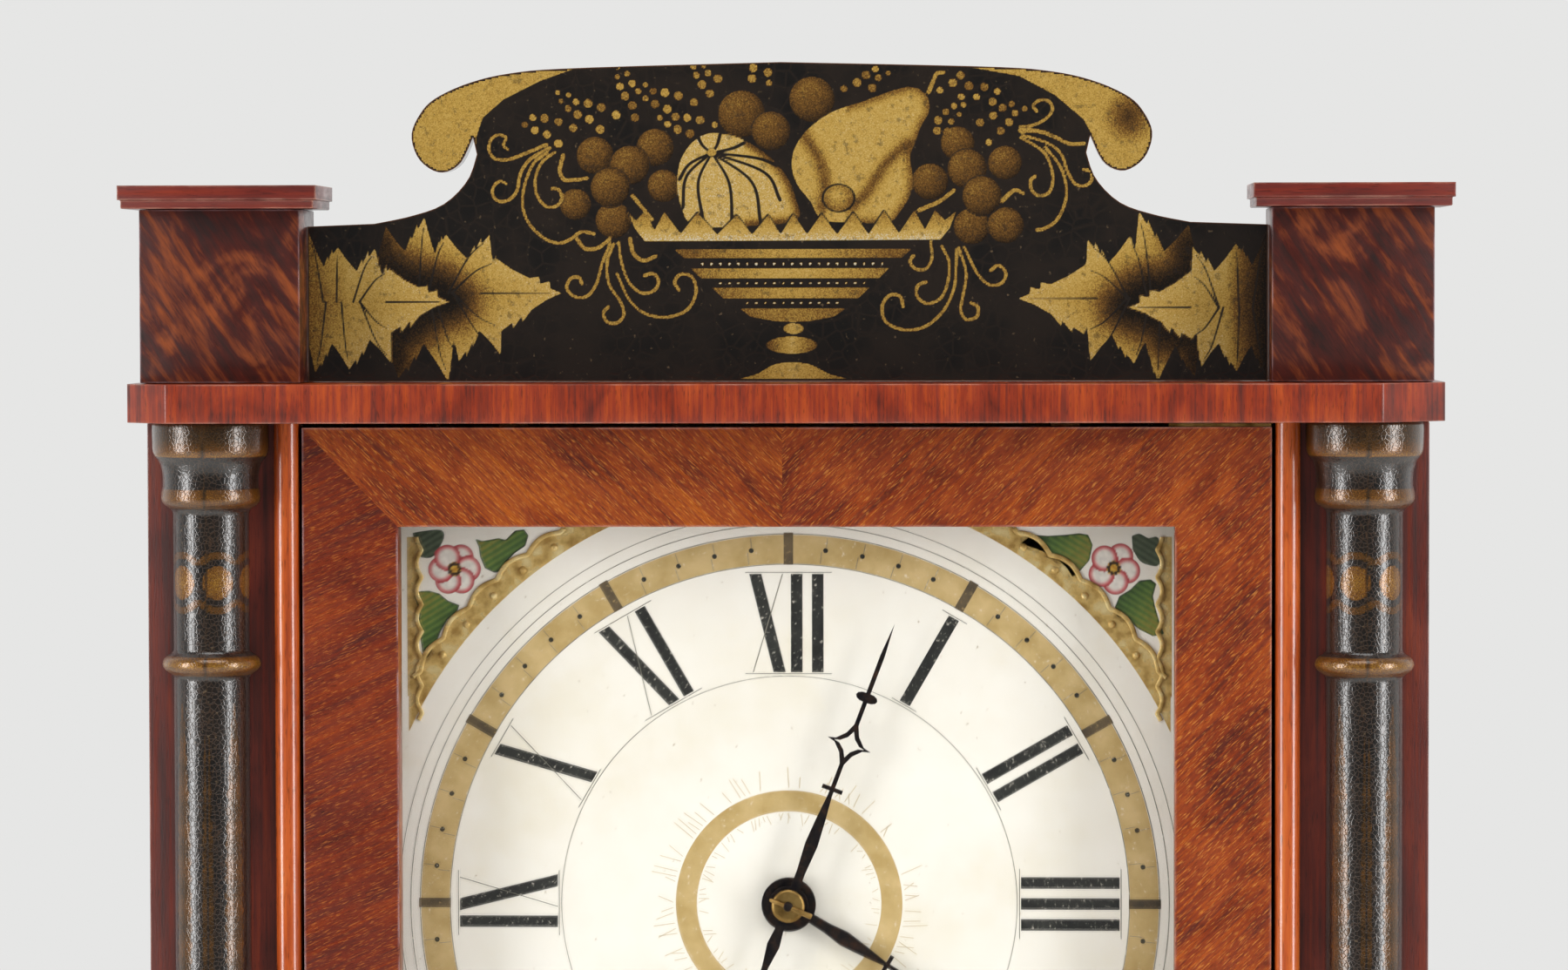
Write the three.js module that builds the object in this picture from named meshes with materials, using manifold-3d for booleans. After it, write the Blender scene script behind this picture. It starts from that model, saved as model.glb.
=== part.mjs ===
// Half-column and splat shelf clock with a wooden thirty-hour movement.
// Millimetres, +Z up, front towards -Y. Origin: middle of the footprint, on the resting face.
import * as THREE from 'three';
import { mergeVertices } from 'three/addons/utils/BufferGeometryUtils.js';
import Module from 'manifold-3d';

const wasm = await Module();
wasm.setup();

const TURN = Math.PI * 2;
const QUARTER = Math.PI / 2;

// How far cutters, and pieces that are joined into one, run into each other.
const bite = 1;

// ---- Case -------------------------------------------------------------------
const openingHeight = 731.5;
const sideThick = 10;
const backThick = 8;
const backInset = 1;
const glueLine = 0.2;
const corniceThick = 12.9;
const corniceFrontOverhang = 27;
const corniceSideOverhang = 4.7;
const leftCant = 15;
const rightCant = 22;
const stileThick = 12;
const beadRadius = 4.2;
const beadDoorGap = 1.2;

// ---- Top: chimneys, caps and splat ------------------------------------------
const chimneyWidth = 53.3;
const chimneyDepth = 38.5;
const chimneyHeight = 57.7;
const chimneySetback = 17.5;
const chimneySideInset = 3.95;
const capOverhang = 6.35;
const capStepInset = 1;
const capStepThick = 2.9;
const capThick = 7.7;
const splatThick = 9;
const splatSetback = 20.5;
const splatDrift = -1.7;
const splatCrown = 106.65;
const splatEndHeight = 52.2;
// Right half of the carved outline: out along the crown and round the scroll, then the swept neck.
const scrollCurve = [
  [67.9, 104.9], [89.7, 103.3], [104, 100.1], [115.4, 95], [120.7, 89.7],
  [123.6, 82.5], [121, 74.5], [114.3, 70.2], [107.5, 73], [103, 81.9],
];
const neckCurve = [[101.7, 76.2], [104.9, 67.5], [112.9, 59.6], [124, 55.6], [136.2, 53.1]];

// ---- Half-columns -----------------------------------------------------------
const columnBeadGap = 1.5;
const columnMargin = 1.8;
const columnSides = 20;
// Capital profile from its flat top: [distance from the end, radius].
const capitalProfile = [
  [0, 19.3], [1.2, 19.6], [9.6, 19.4], [11.5, 18.6], [12.6, 17.2], [16.5, 16.2], [19.5, 16],
  [20.5, 16.2], [21.4, 15.6], [22, 16.3], [24.6, 16.7], [27.2, 16.3], [28.2, 14.2], [29.4, 12.7],
];
const ringDrop = 76.8;
const ringProfile = [[0, 12.7], [1, 15.6], [3.6, 16.7], [6.2, 15.6], [7.2, 12.7]];

// ---- Door -------------------------------------------------------------------
const doorHalfWidth = 161;
const doorThick = 17;
const doorProud = 2;
const doorEndGap = 2;
const frameWidth = 31.9;
const railHeight = 33;
const dialOpening = 258;
const rebateWidth = 6;
const glassDepth = 11;
const glassThick = 2;
const glassClear = 0.3;
const pivotInset = 5.5;
const pivotDepth = 2.5;
const pivotRadius = 1.5;
const pivotRise = 4;
const pivotClear = 0.3;
const strapLength = 34;
const strapWidth = 9;
const strapThick = 1.2;
const knobRadius = 8;
const knobReach = 15;
const knobFoot = 5;
const knobNeck = 2.7;

// ---- Dial -------------------------------------------------------------------
const dialDrop = 163.6;
const dialBehindStile = 25;
const dialSize = 300;
const dialThick = 6;
const dialHole = 5;
const keyHole = 4.5;

// ---- Movement frame ---------------------------------------------------------
const plateHalfWidth = 88;
const plateTop = 103;
const plateBottom = 82;
const plateThick = 6;
const dialToPlate = 11.5;
const plateGap = 34;
const plateToBack = 2.5;
const pillarRadius = 5;
const upperPillar = [78, 94];
const lowerPillar = [64, -74];
const seat = 0.3;
const uprightThick = 10;
const grooveDepth = 4;
const cordSlot = [52, 108];
const cordSlotWidth = 9;

// ---- Wheels -----------------------------------------------------------------
const greatModule = 2.4;
const greatTeeth = 36;
const trainModule = 1.1;
const centreTeeth = 54;
const thirdTeeth = 48;
const escapeTeeth = 42;
const escapeRadius = 24;
const escapeThick = 3;
const escapeToothDepth = 4;
const escapeLean = 0.3;
const warningTeeth = 42;
const leaves = 6;
const wheelThick = 4;
const greatThick = 5;
const leafExtra = 0.5;
const arborRadius = 2.5;
const arborPivot = 0.9;
const pivotReach = 4;
const endShake = 0.4;
const boreClear = 0.3;
const drumArbor = 3;
const drumRadius = 14.5;
const ratchetRadius = 17;
const ratchetTeeth = 16;
const ratchetThick = 2;
const ratchetDepth = 3;
const ratchetLean = 0.15;
const squareReach = 2.5;
const countTeeth = 39;
const countModule = 1.6;
const countThick = 3;
const countStand = 4.5;
const motionPitch = 18;
const cannonLeaves = 8;
const motionTeeth = 24;
const motionThick = 2.4;
const motionGap = 1;
const hourTeeth = 32;
const gearBacklash = 0.25;

// Tooth form, in modules above and below the pitch line and in shares of the pitch.
const toothTop = 0.6;
const toothRoot = 1.3;
const leafFoot = 0.36;
const toothTip = 0.14;

// Where the arbors stand, from the hands' centre: [right, up].
const winding = [41, -29.3];
const thirdPlace = [12.5, 30.6];
const escapePlace = [-14, 44];
const vergeRise = 33;
const pinWheelPlace = [-55, 19.1];
const warningPlace = [-49, 48.2];
const flyPlace = [-33, 69.2];
const hammerPlace = [-82, 0];

// Distance of each wheel's front face behind the front plate's back face.
const goingGreatLayer = 2;
const centreLayer = 9;
const thirdLayer = 16;
const escapeLayer = 3;
const strikeGreatLayer = 28.2;
const pinLayer = 21;
const warningLayer = 14;
const flyLayer = 21;
const hammerLayer = 11.5;

// ---- Escapement, strike, weights --------------------------------------------
const pendulumLength = 352;
const pendulumRod = 0.8;
const bobRadius = 26;
const bobThick = 9;
const springRise = 9.3;
const postRadius = 2.2;
const rodFromDial = 1.9;
const crutchLength = 34;
const crutchWire = 0.7;
const crutchSpread = 2.2;
const crutchStand = 5;
const forkReach = 1.4;
const palletGap = 1.5;
const palletThick = 1.6;
const palletSpread = 0.62;
const palletStem = 1.4;
const vergeArbor = 1.6;
const flyRadius = 16;
const flyWidth = 10;
const flyThick = 1.8;
const pinCount = 12;
const pinCircle = 20;
const pinRadius = 1;
const pinLength = 2.6;
const firstPin = 0.25;
const bellDrop = 150;
const bellRadius = 40;
const bellDepth = 24;
const bellWall = 3;
const bellCrown = 1.2;
const bellBackGap = 4;
const bellPost = 4;
const bellNut = 2.5;
const hammerWire = 1.1;
const hammerHead = 4.5;
const hammerHeadLength = 10;
const hammerRest = 1.8;
const hammerHeadSetback = 6;
const hammerTailReach = 8.6;
const hammerTailThick = 2.2;
// Bends of the hammer wire down from its arbor: [right, back, up], and the last one before the head.
const hammerBends = [[0, 0, 0], [0, 0, -60], [3, 1, -90], [14, 8, -112]];
const hammerNeck = [29, 5, -134];
const pulleyPlace = 141;
const pulleyRadius = 16;
const pulleyWidth = 7;
const pulleyPin = 1.5;
const pulleyPinHalf = 10;
const pulleyRim = 0.8;
const grooveHalf = 1.2;
const cordRadius = 1.1;
const cordGap = 0.3;
const pulleyCordRadius = 14;
const cordLayer = 18;
const mortiseClear = 4;
const weightWidth = 44;
const weightDepth = 40;
const weightHeight = 95;
const weightTaper = 3;
const weightFloorGap = 3;
const hookRadius = 5;
const hookWire = 1.5;
const hookStem = 5;

// ---- Hands ------------------------------------------------------------------
const handThick = 0.9;
const hourHandStand = 3;
const minuteHandStand = 7;
const minuteAngle = 20.7;
const hourAngle = 121.7;
const minuteBoss = 6.7;
const hourBoss = 9.2;
const centreArbor = 1.3;
const arborProud = 2.5;
const cannonBore = 1.6;
const cannonRadius = 2.5;
const hourBore = 2.8;
const hourPipe = 4;
const washerRadius = 5.6;
const washerThick = 0.7;
const wireHalf = 0.75;
const barHalf = 0.7;
const barReach = 3.6;
const diamondHalf = 7.6;
const hourDiamondLess = 0.8;
const diamondBand = 0.9;
// Outline stations along each hand from the arbor: [distance, half-width].
const minuteTailCurve = [[-34, 0], [-33, 0.5], [-22, 1.1], [-14.3, 2.2], [-8, 1.4]];
const minuteSwell = [[12, 1.5], [22.2, 2.2], [31, 1.6], [40, wireHalf]];
const minuteBar = 42.1;
const minuteDiamondSpan = [51.2, 14];
const minuteCollar = [[73.4, wireHalf], [73.5, 2.1], [74.1, 3.3], [75, 3.8], [75.9, 3.3], [76.5, 2.1],
  [76.6, wireHalf]];
const minuteTip = [[90, 0.8], [101.7, 0]];
const hourSwell = [[15, 1.8], [22, 2.6], [30, 1.8], [38, wireHalf]];
const hourBar = 38.9;
const hourDiamondSpan = [50, 13];
const hourTip = [[70, 0.8], [77.5, 0]];
// Concave side of the open diamond: [share of its length, share of its width].
const diamondCurve = [[0, 0], [0.25, 0.22], [0.45, 0.62], [0.5, 1], [0.55, 0.62], [0.75, 0.22], [1, 0]];

// ---- Derived places ---------------------------------------------------------
const dialStack = dialBehindStile + dialThick + dialToPlate;
const movementDepth = plateThick * 2 + plateGap;
const caseDepth = dialStack + movementDepth + plateToBack + backThick + backInset;
const frontY = -(caseDepth + corniceFrontOverhang) / 2;
const backY = -frontY;
const stileY = frontY + corniceFrontOverhang;
const stileBackY = stileY + stileThick;
const corniceBottom = corniceThick + openingHeight;
const corniceTop = corniceBottom + corniceThick;
const stileInner = doorHalfWidth + beadDoorGap;
const capitalRadius = Math.max(...capitalProfile.map(([, radius]) => radius));
const columnCentre = stileInner + beadRadius * 2 + columnBeadGap + capitalRadius;
const caseHalf = columnCentre + capitalRadius + columnMargin;
const corniceHalf = caseHalf + corniceSideOverhang;
const sideInner = caseHalf - sideThick;
const backBoardBack = backY - backInset;
const backBoardFront = backBoardBack - backThick;
const doorFront = stileY - doorProud;
const doorBack = doorFront + doorThick;
const doorBottom = corniceThick + doorEndGap;
const doorTop = corniceBottom - doorEndGap;
const dialZ = corniceBottom - dialDrop;
const dialFront = stileY + dialBehindStile;
const dialBack = dialFront + dialThick;
const frontPlateY = dialBack + dialToPlate;
const gapFront = frontPlateY + plateThick;
const gapBack = gapFront + plateGap;
const cordY = gapFront + cordLayer;
const pulleyZ = corniceTop - corniceThick / 2;
const weightX = pulleyPlace + pulleyCordRadius;
const drumCordRadius = drumRadius + cordRadius;

// ---- Making solids ----------------------------------------------------------

// Shared corners merged, empty faces dropped, faces turned outwards.
function closed(geometry) {
  const bare = geometry.clone();
  bare.deleteAttribute('normal');
  bare.deleteAttribute('uv');
  const merged = mergeVertices(bare, 1e-4);
  const place = merged.getAttribute('position');
  const index = merged.index.array;
  const corners = [new THREE.Vector3(), new THREE.Vector3(), new THREE.Vector3()];
  const faces = [];
  let volume = 0;
  for (let i = 0; i < index.length; i += 3) {
    const [a, b, c] = index.slice(i, i + 3);
    if (a === b || b === c || c === a) continue;
    faces.push([a, b, c]);
    corners[0].fromBufferAttribute(place, a);
    corners[1].fromBufferAttribute(place, b);
    corners[2].fromBufferAttribute(place, c);
    volume += corners[0].dot(corners[1].cross(corners[2]));
  }
  const order = volume < 0 ? faces.map(([a, b, c]) => [a, c, b]) : faces;
  const solid = new THREE.BufferGeometry();
  solid.setAttribute('position', place);
  solid.setIndex(order.flat());
  return solid;
}

function toManifold(geometry) {
  const solid = closed(geometry);
  return new wasm.Manifold(new wasm.Mesh({
    numProp: 3,
    vertProperties: new Float32Array(solid.getAttribute('position').array),
    triVerts: new Uint32Array(solid.index.array),
  }));
}

function fromManifold(body) {
  const mesh = body.getMesh();
  const geometry = new THREE.BufferGeometry();
  const place = new Float32Array(mesh.vertProperties);
  geometry.setAttribute('position', new THREE.BufferAttribute(place, 3));
  geometry.setIndex(Array.from(mesh.triVerts));
  return geometry;
}

function join(...solids) {
  return fromManifold(solids.map(toManifold).reduce((whole, next) => whole.add(next)));
}

function cut(solid, ...tools) {
  const whole = toManifold(solid);
  return fromManifold(tools.map(toManifold).reduce((rest, tool) => rest.subtract(tool), whole));
}

// A board between two corners.
function board(x0, x1, y0, y1, z0, z1) {
  const box = new THREE.BoxGeometry(x1 - x0, y1 - y0, z1 - z0);
  return box.translate((x0 + x1) / 2, (y0 + y1) / 2, (z0 + z1) / 2);
}

// An outline seen from the front, between two depths.
function slab(shape, y0, y1, curveSegments = 8) {
  const solid = new THREE.ExtrudeGeometry(shape, { depth: y1 - y0, bevelEnabled: false, curveSegments });
  return solid.rotateX(QUARTER).translate(0, y1, 0);
}

// An outline seen from above, between two heights.
function layer(shape, z0, z1) {
  const solid = new THREE.ExtrudeGeometry(shape, { depth: z1 - z0, bevelEnabled: false });
  return solid.translate(0, 0, z0);
}

// A round bar along Y.
function rod(radius, y0, y1, sides = 12) {
  return new THREE.CylinderGeometry(radius, radius, y1 - y0, sides).translate(0, (y0 + y1) / 2, 0);
}

function shapeOf(points) {
  return new THREE.Shape(points.map(([x, y]) => new THREE.Vector2(x, y)));
}

function roundHole(shape, x, y, radius, sides = 12) {
  const points = [];
  for (let i = 0; i < sides; i += 1) {
    const angle = (-TURN * i) / sides;
    points.push(new THREE.Vector2(x + radius * Math.cos(angle), y + radius * Math.sin(angle)));
  }
  shape.holes.push(new THREE.Path(points));
}

function finish(color, roughness, metalness = 0) {
  return () => new THREE.MeshStandardMaterial({ color, roughness, metalness });
}

const mahogany = finish('#7a2f17', 0.35);
const darkMahogany = finish('#5a2015', 0.35);
const paleBead = finish('#b4602c', 0.3);
const lacquer = finish('#17120f', 0.3);
const pine = finish('#b98f5c', 0.7);
const cherry = finish('#9b5a30', 0.6);
const oak = finish('#b58a58', 0.65);
const paint = finish('#ece6d2', 0.5);
const brass = finish('#b5924a', 0.35, 1);
const steel = finish('#2a2a30', 0.4, 1);
const iron = finish('#33302e', 0.6, 1);
const window = finish('#dfe8e6', 0.05);
const lookingGlass = finish('#b8c0c2', 0.05, 1);
const cotton = finish('#c9bfa3', 0.9);

const clock = new THREE.Group();
const movement = new THREE.Group();
movement.position.z = dialZ;
clock.add(movement);

function add(name, geometry, material, parent = clock) {
  const mesh = new THREE.Mesh(closed(geometry), material());
  mesh.name = name;
  parent.add(mesh);
  return mesh;
}

// ---- Case boards ------------------------------------------------------------

// The cornice and base boards are alike: a board with canted front corners, the left one smaller.
function cantedBoard(z0, z1) {
  const outline = shapeOf([
    [-corniceHalf, backY], [-corniceHalf, frontY + leftCant], [-corniceHalf + leftCant, frontY],
    [corniceHalf - rightCant, frontY], [corniceHalf, frontY + rightCant], [corniceHalf, backY],
  ]);
  return layer(outline, z0, z1);
}

const pivotX = doorHalfWidth - pivotInset;
const pivotY = doorFront + pivotDepth;
const pivotHole = pivotRadius + pivotClear;

function pivotPin(radius, z0, z1) {
  const pin = new THREE.CylinderGeometry(radius, radius, z1 - z0, 12);
  return pin.rotateX(QUARTER).translate(pivotX, pivotY, (z0 + z1) / 2);
}

const mortiseInner = pulleyPlace - pulleyRadius - mortiseClear;
const mortiseOuter = pulleyPlace + pulleyRadius + mortiseClear;
const mortiseHalf = pulleyWidth / 2 + boreClear * 2;
const corniceCuts = [pivotPin(pivotHole, corniceBottom - bite, corniceBottom + pivotRise)];
for (const side of [-1, 1]) {
  const [x0, x1] = side < 0 ? [-mortiseOuter, -mortiseInner] : [mortiseInner, mortiseOuter];
  corniceCuts.push(board(x0, x1, cordY - mortiseHalf, cordY + mortiseHalf,
    corniceBottom - bite, corniceTop + bite));
  const boreHalf = pulleyPinHalf + boreClear;
  const bore = rod(pulleyPin + boreClear, cordY - boreHalf, cordY + boreHalf);
  corniceCuts.push(bore.translate(side * pulleyPlace, 0, pulleyZ));
}
add('cornice_board', cut(cantedBoard(corniceBottom, corniceTop), ...corniceCuts), mahogany);
const baseHole = pivotPin(pivotHole, corniceThick - pivotRise, corniceThick + bite);
add('base_board', cut(cantedBoard(0, corniceThick), baseHole), mahogany);

const boardBottom = corniceThick + glueLine;
const boardTop = corniceBottom - glueLine;
const capitalEnd = capitalProfile.at(-1)[0];
const ringEnd = ringDrop + ringProfile.at(-1)[0];

// One turned column, both ends alike, split down the middle so that its flat sits on the stile.
function halfColumn() {
  const half = [[0, 0]];
  for (const [drop, radius] of capitalProfile) half.push([radius, drop]);
  for (const [drop, radius] of ringProfile) half.push([radius, ringDrop + drop]);
  const length = boardTop - boardBottom;
  const points = [...half, ...half.map(([radius, drop]) => [radius, length - drop]).reverse()];
  const turned = new THREE.LatheGeometry(points.map(([r, z]) => new THREE.Vector2(r, z)), columnSides);
  const reach = ringEnd + capitalEnd;
  const waste = board(-reach, reach, -glueLine, reach, -bite, length + bite);
  return cut(turned.rotateX(QUARTER), waste);
}

for (const [name, side] of [['left', -1], ['right', 1]]) {
  const span = (inner, outer) => (side < 0 ? [-outer, -inner] : [inner, outer]);
  const [sideX0, sideX1] = span(sideInner, caseHalf);
  add(`${name}_side_board`,
    board(sideX0, sideX1, stileBackY + glueLine, backBoardBack, boardBottom, boardTop), darkMahogany);
  const [stileX0, stileX1] = span(stileInner, caseHalf);
  add(`${name}_stile`, board(stileX0, stileX1, stileY, stileBackY, boardBottom, boardTop), darkMahogany);

  const column = add(`${name}_half_column`, halfColumn(), lacquer);
  column.position.set(side * columnCentre, stileY, boardBottom);

  const beadOutline = new THREE.Shape().absarc(0, 0, beadRadius, Math.PI, TURN, false);
  const bead = add(`${name}_bead`, layer(beadOutline, boardBottom, boardTop), paleBead);
  bead.position.set(side * (stileInner + beadRadius), stileY - glueLine, 0);

  const chimneyOuter = corniceHalf - chimneySideInset;
  const chimneyInner = chimneyOuter - chimneyWidth;
  const chimneyFront = frontY + chimneySetback;
  const chimneyBack = chimneyFront + chimneyDepth;
  const chimneyFoot = corniceTop + glueLine;
  const chimneyTop = corniceTop + chimneyHeight;
  const [chimneyX0, chimneyX1] = span(chimneyInner, chimneyOuter);
  add(`${name}_chimney`,
    board(chimneyX0, chimneyX1, chimneyFront, chimneyBack, chimneyFoot, chimneyTop), darkMahogany);

  const stepOverhang = capOverhang - capStepInset;
  const stepFoot = chimneyTop + glueLine;
  const stepTop = stepFoot + capStepThick;
  const capTop = stepFoot + capThick;
  add(`${name}_chimney_cap`, join(
    board(chimneyX0 - stepOverhang, chimneyX1 + stepOverhang, chimneyFront - stepOverhang, chimneyBack,
      stepFoot, stepTop),
    board(chimneyX0 - capOverhang, chimneyX1 + capOverhang, chimneyFront - capOverhang, chimneyBack,
      stepTop, capTop),
  ), darkMahogany);
}

const backHalf = sideInner - glueLine;
add('back_board',
  board(-backHalf, backHalf, backBoardFront, backBoardBack, boardBottom, boardTop), pine);

// The splat stands between the chimneys; its outline is smooth curves through the carver's points.
const splatEnd = corniceHalf - chimneySideInset - chimneyWidth - glueLine;
const splatFront = frontY + chimneySetback + splatSetback;

function smooth(points, steps) {
  return new THREE.SplineCurve(points.map(([x, y]) => new THREE.Vector2(x, y))).getPoints(steps);
}

function splatOutline() {
  const crown = smooth([[0, splatCrown], ...scrollCurve], 44);
  const neck = smooth(neckCurve, 14);
  const right = [...crown, ...neck].map((point) => [point.x, point.y]);
  const left = right.slice(1).map(([x, z]) => [-x, z]).reverse();
  const carved = [...left, ...right].map(([x, z]) => [x + splatDrift, z]);
  return shapeOf([[-splatEnd, glueLine], [-splatEnd, splatEndHeight], ...carved,
    [splatEnd, splatEndHeight], [splatEnd, glueLine]]);
}

add('splat', slab(splatOutline(), splatFront, splatFront + splatThick), lacquer).position.z = corniceTop;

// ---- Door -------------------------------------------------------------------
const doorGroup = new THREE.Group();
clock.add(doorGroup);
const glassY = doorFront + glassDepth;
const openingHalf = doorHalfWidth - frameWidth;
const rebateHalf = openingHalf + rebateWidth;
const dialOpeningTop = doorTop - railHeight;
const dialOpeningBottom = dialOpeningTop - dialOpening;
const lowerOpeningTop = dialOpeningBottom - railHeight;
const lowerOpeningBottom = doorBottom + railHeight;
const knobX = -(doorHalfWidth - frameWidth / 2);
const knobZ = (doorBottom + doorTop) / 2;

// The frame pieces carry a rebate at the back for the glass.
for (const [name, side] of [['door_left_stile', -1], ['door_right_stile', 1]]) {
  const section = [[doorHalfWidth, doorFront], [openingHalf, doorFront], [openingHalf, glassY],
    [rebateHalf, glassY], [rebateHalf, doorBack], [doorHalfWidth, doorBack]];
  const outline = shapeOf(section.map(([x, y]) => [side * x, y]));
  add(name, layer(outline, doorBottom, doorTop), mahogany, doorGroup);
}

function doorRail(name, z0, z1, rebateBelow, rebateAbove) {
  const railHalf = openingHalf - glueLine;
  const front = board(-railHalf, railHalf, doorFront, glassY, z0, z1);
  const back = board(-railHalf, railHalf, glassY, doorBack, z0 + rebateBelow, z1 - rebateAbove);
  add(name, join(front, back), mahogany, doorGroup);
}

doorRail('door_top_rail', dialOpeningTop, doorTop, rebateWidth, 0);
doorRail('door_middle_rail', lowerOpeningTop, dialOpeningBottom, rebateWidth, rebateWidth);
doorRail('door_bottom_rail', doorBottom, lowerOpeningBottom, 0, rebateWidth);

function pane(name, z0, z1, material) {
  const half = rebateHalf - glassClear;
  const front = glassY + glassClear;
  const bottom = z0 - rebateWidth + glassClear;
  const top = z1 + rebateWidth - glassClear;
  add(name, board(-half, half, front, front + glassThick, bottom, top), material, doorGroup);
}

pane('dial_glass', dialOpeningBottom, dialOpeningTop, window);
pane('lower_glass', lowerOpeningBottom, lowerOpeningTop, lookingGlass);

// Brass strap in the gap over or under the door, with a pin up or down into the case.
for (const [name, face, way] of [['upper_hinge', doorTop, 1], ['lower_hinge', doorBottom, -1]]) {
  const [z0, z1] = way > 0 ? [face + glueLine, face + strapThick] : [face - strapThick, face - glueLine];
  const strap = board(doorHalfWidth - strapLength, doorHalfWidth - glueLine, doorFront + glueLine,
    doorFront + strapWidth, z0, z1);
  const reach = way * (doorEndGap + pivotRise - endShake * 2);
  const [pin0, pin1] = way > 0 ? [z0, face + reach] : [face + reach, z1];
  add(name, join(strap, pivotPin(pivotRadius, pin0, pin1)), brass, doorGroup);
}

const knobTurning = [[0, 0], [knobFoot, 0], [knobFoot, 1.2], [knobNeck, 3], [knobNeck, 6],
  [knobRadius * 0.85, 9], [knobRadius, 11.5], [knobRadius * 0.8, knobReach - 1], [0, knobReach]];
const knob = add('door_knob',
  new THREE.LatheGeometry(knobTurning.map(([r, y]) => new THREE.Vector2(r, -y)), 20), brass, doorGroup);
knob.position.set(knobX, doorFront - glueLine, knobZ);

// ---- Dial and uprights ------------------------------------------------------
const dialOutline = shapeOf([[-dialSize / 2, -dialSize / 2], [dialSize / 2, -dialSize / 2],
  [dialSize / 2, dialSize / 2], [-dialSize / 2, dialSize / 2]]);
roundHole(dialOutline, 0, 0, dialHole, 20);
for (const side of [-1, 1]) roundHole(dialOutline, side * winding[0], winding[1], keyHole, 16);
add('dial_board', slab(dialOutline, dialFront, dialBack), paint, movement);

// The back plate's edges slide down grooves in the uprights; each cord passes through a slot.
for (const [name, side] of [['left_upright', -1], ['right_upright', 1]]) {
  const inner = plateHalfWidth + seat;
  const span = (x0, x1) => (side < 0 ? [-x1, -x0] : [x0, x1]);
  const groove = board(...span(inner - bite, inner + grooveDepth + seat), gapBack - seat,
    gapBack + plateThick + seat, dialZ - plateBottom - seat, corniceTop);
  const slot = board(...span(inner - bite, inner + uprightThick + bite),
    cordY - cordSlotWidth / 2, cordY + cordSlotWidth / 2, dialZ + cordSlot[0], dialZ + cordSlot[1]);
  const plank = board(...span(inner, inner + uprightThick), dialBack + seat, backBoardFront - glueLine,
    boardBottom, boardTop);
  add(name, cut(plank, groove, slot), pine);
}

// ---- Movement plates --------------------------------------------------------
const vergePlace = [escapePlace[0], escapePlace[1] + vergeRise];
const countRise = (countModule * (countTeeth + leaves)) / 2 + gearBacklash;
const countPlace = [pinWheelPlace[0], pinWheelPlace[1] + countRise];
const motionOffset = motionPitch * Math.SQRT1_2 + gearBacklash;
const motionPlace = [motionOffset, -motionOffset];
const strikeWinding = [-winding[0], winding[1]];

function plateOutline(half) {
  const outline = shapeOf([[-half, -plateBottom], [half, -plateBottom], [half, plateTop], [-half, plateTop]]);
  for (const place of [thirdPlace, escapePlace, warningPlace, flyPlace, hammerPlace]) {
    roundHole(outline, ...place, arborPivot + boreClear, 8);
  }
  for (const place of [winding, strikeWinding]) roundHole(outline, ...place, drumArbor + boreClear);
  return outline;
}

const frontOutline = plateOutline(plateHalfWidth);
roundHole(frontOutline, 0, 0, cannonRadius + boreClear);
roundHole(frontOutline, ...vergePlace, vergeArbor + boreClear, 10);
roundHole(frontOutline, ...pinWheelPlace, arborRadius + boreClear, 10);
for (const place of [motionPlace, countPlace]) roundHole(frontOutline, ...place, arborPivot + boreClear, 8);

// Brass post on the front plate: the pendulum's spring hangs under its end.
const postPlace = [vergePlace[0], vergePlace[1] + springRise + postRadius + endShake];
const rodY = dialBack + rodFromDial;
const post = rod(postRadius, dialBack + seat, frontPlateY + bite, 10);
post.translate(postPlace[0], 0, postPlace[1]);
add('front_plate', join(slab(frontOutline, frontPlateY, gapFront), post), oak, movement);

const backOutline = plateOutline(plateHalfWidth + grooveDepth);
for (const place of [[0, 0], vergePlace, pinWheelPlace]) {
  roundHole(backOutline, ...place, arborPivot + boreClear, 8);
}
const pillars = [];
for (const side of [-1, 1]) {
  for (const [x, z] of [upperPillar, lowerPillar]) {
    pillars.push(rod(pillarRadius, gapFront + seat, gapBack + bite).translate(side * x, 0, z));
  }
}
add('back_plate', join(slab(backOutline, gapBack, gapBack + plateThick), ...pillars), oak, movement);

// ---- Wheels -----------------------------------------------------------------

// Straight-sided teeth; tooth 0 points along `phase`, measured anticlockwise from the front.
// A pinion's leaves stand apart on its barrel; a wheel's teeth meet in sharp-bottomed gaps.
function gearShape(teeth, module, phase) {
  const pitch = TURN / teeth;
  const radius = (teeth * module) / 2;
  const isPinion = teeth <= cannonLeaves;
  const root = radius - toothRoot * module;
  const tip = radius + toothTop * module;
  const leaf = [[root, -leafFoot], [tip, -toothTip], [tip, toothTip], [root, leafFoot]];
  const tooth = [[root, -1], [tip, -toothTip], [tip, toothTip]];
  const points = [];
  for (let i = 0; i < teeth; i += 1) {
    const middle = phase + pitch * i;
    for (const [reach, share] of isPinion ? leaf : tooth) {
      const angle = middle + (share * pitch) / 2;
      points.push([reach * Math.cos(angle), reach * Math.sin(angle)]);
    }
  }
  return shapeOf(points);
}

// One-sided teeth for the escape wheel, ratchets and count wheel.
function sawShape(teeth, tip, root, lean) {
  const points = [];
  for (let i = 0; i < teeth; i += 1) {
    const angle = (TURN * i) / teeth;
    const back = angle + ((1 - lean) * TURN) / teeth;
    points.push([tip * Math.cos(angle), tip * Math.sin(angle)]);
    points.push([root * Math.cos(back), root * Math.sin(back)]);
  }
  return shapeOf(points);
}

function direction(from, to) {
  return Math.atan2(to[1] - from[1], to[0] - from[0]);
}

// Phase that puts a gap of the second gear opposite the tooth of the first, whatever way they lie.
function meshPhase(from, to, fromTeeth, toTeeth, fromPhase) {
  const line = direction(from, to);
  return line + Math.PI - ((fromPhase - line) * fromTeeth) / toTeeth + Math.PI / toTeeth;
}

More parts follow.
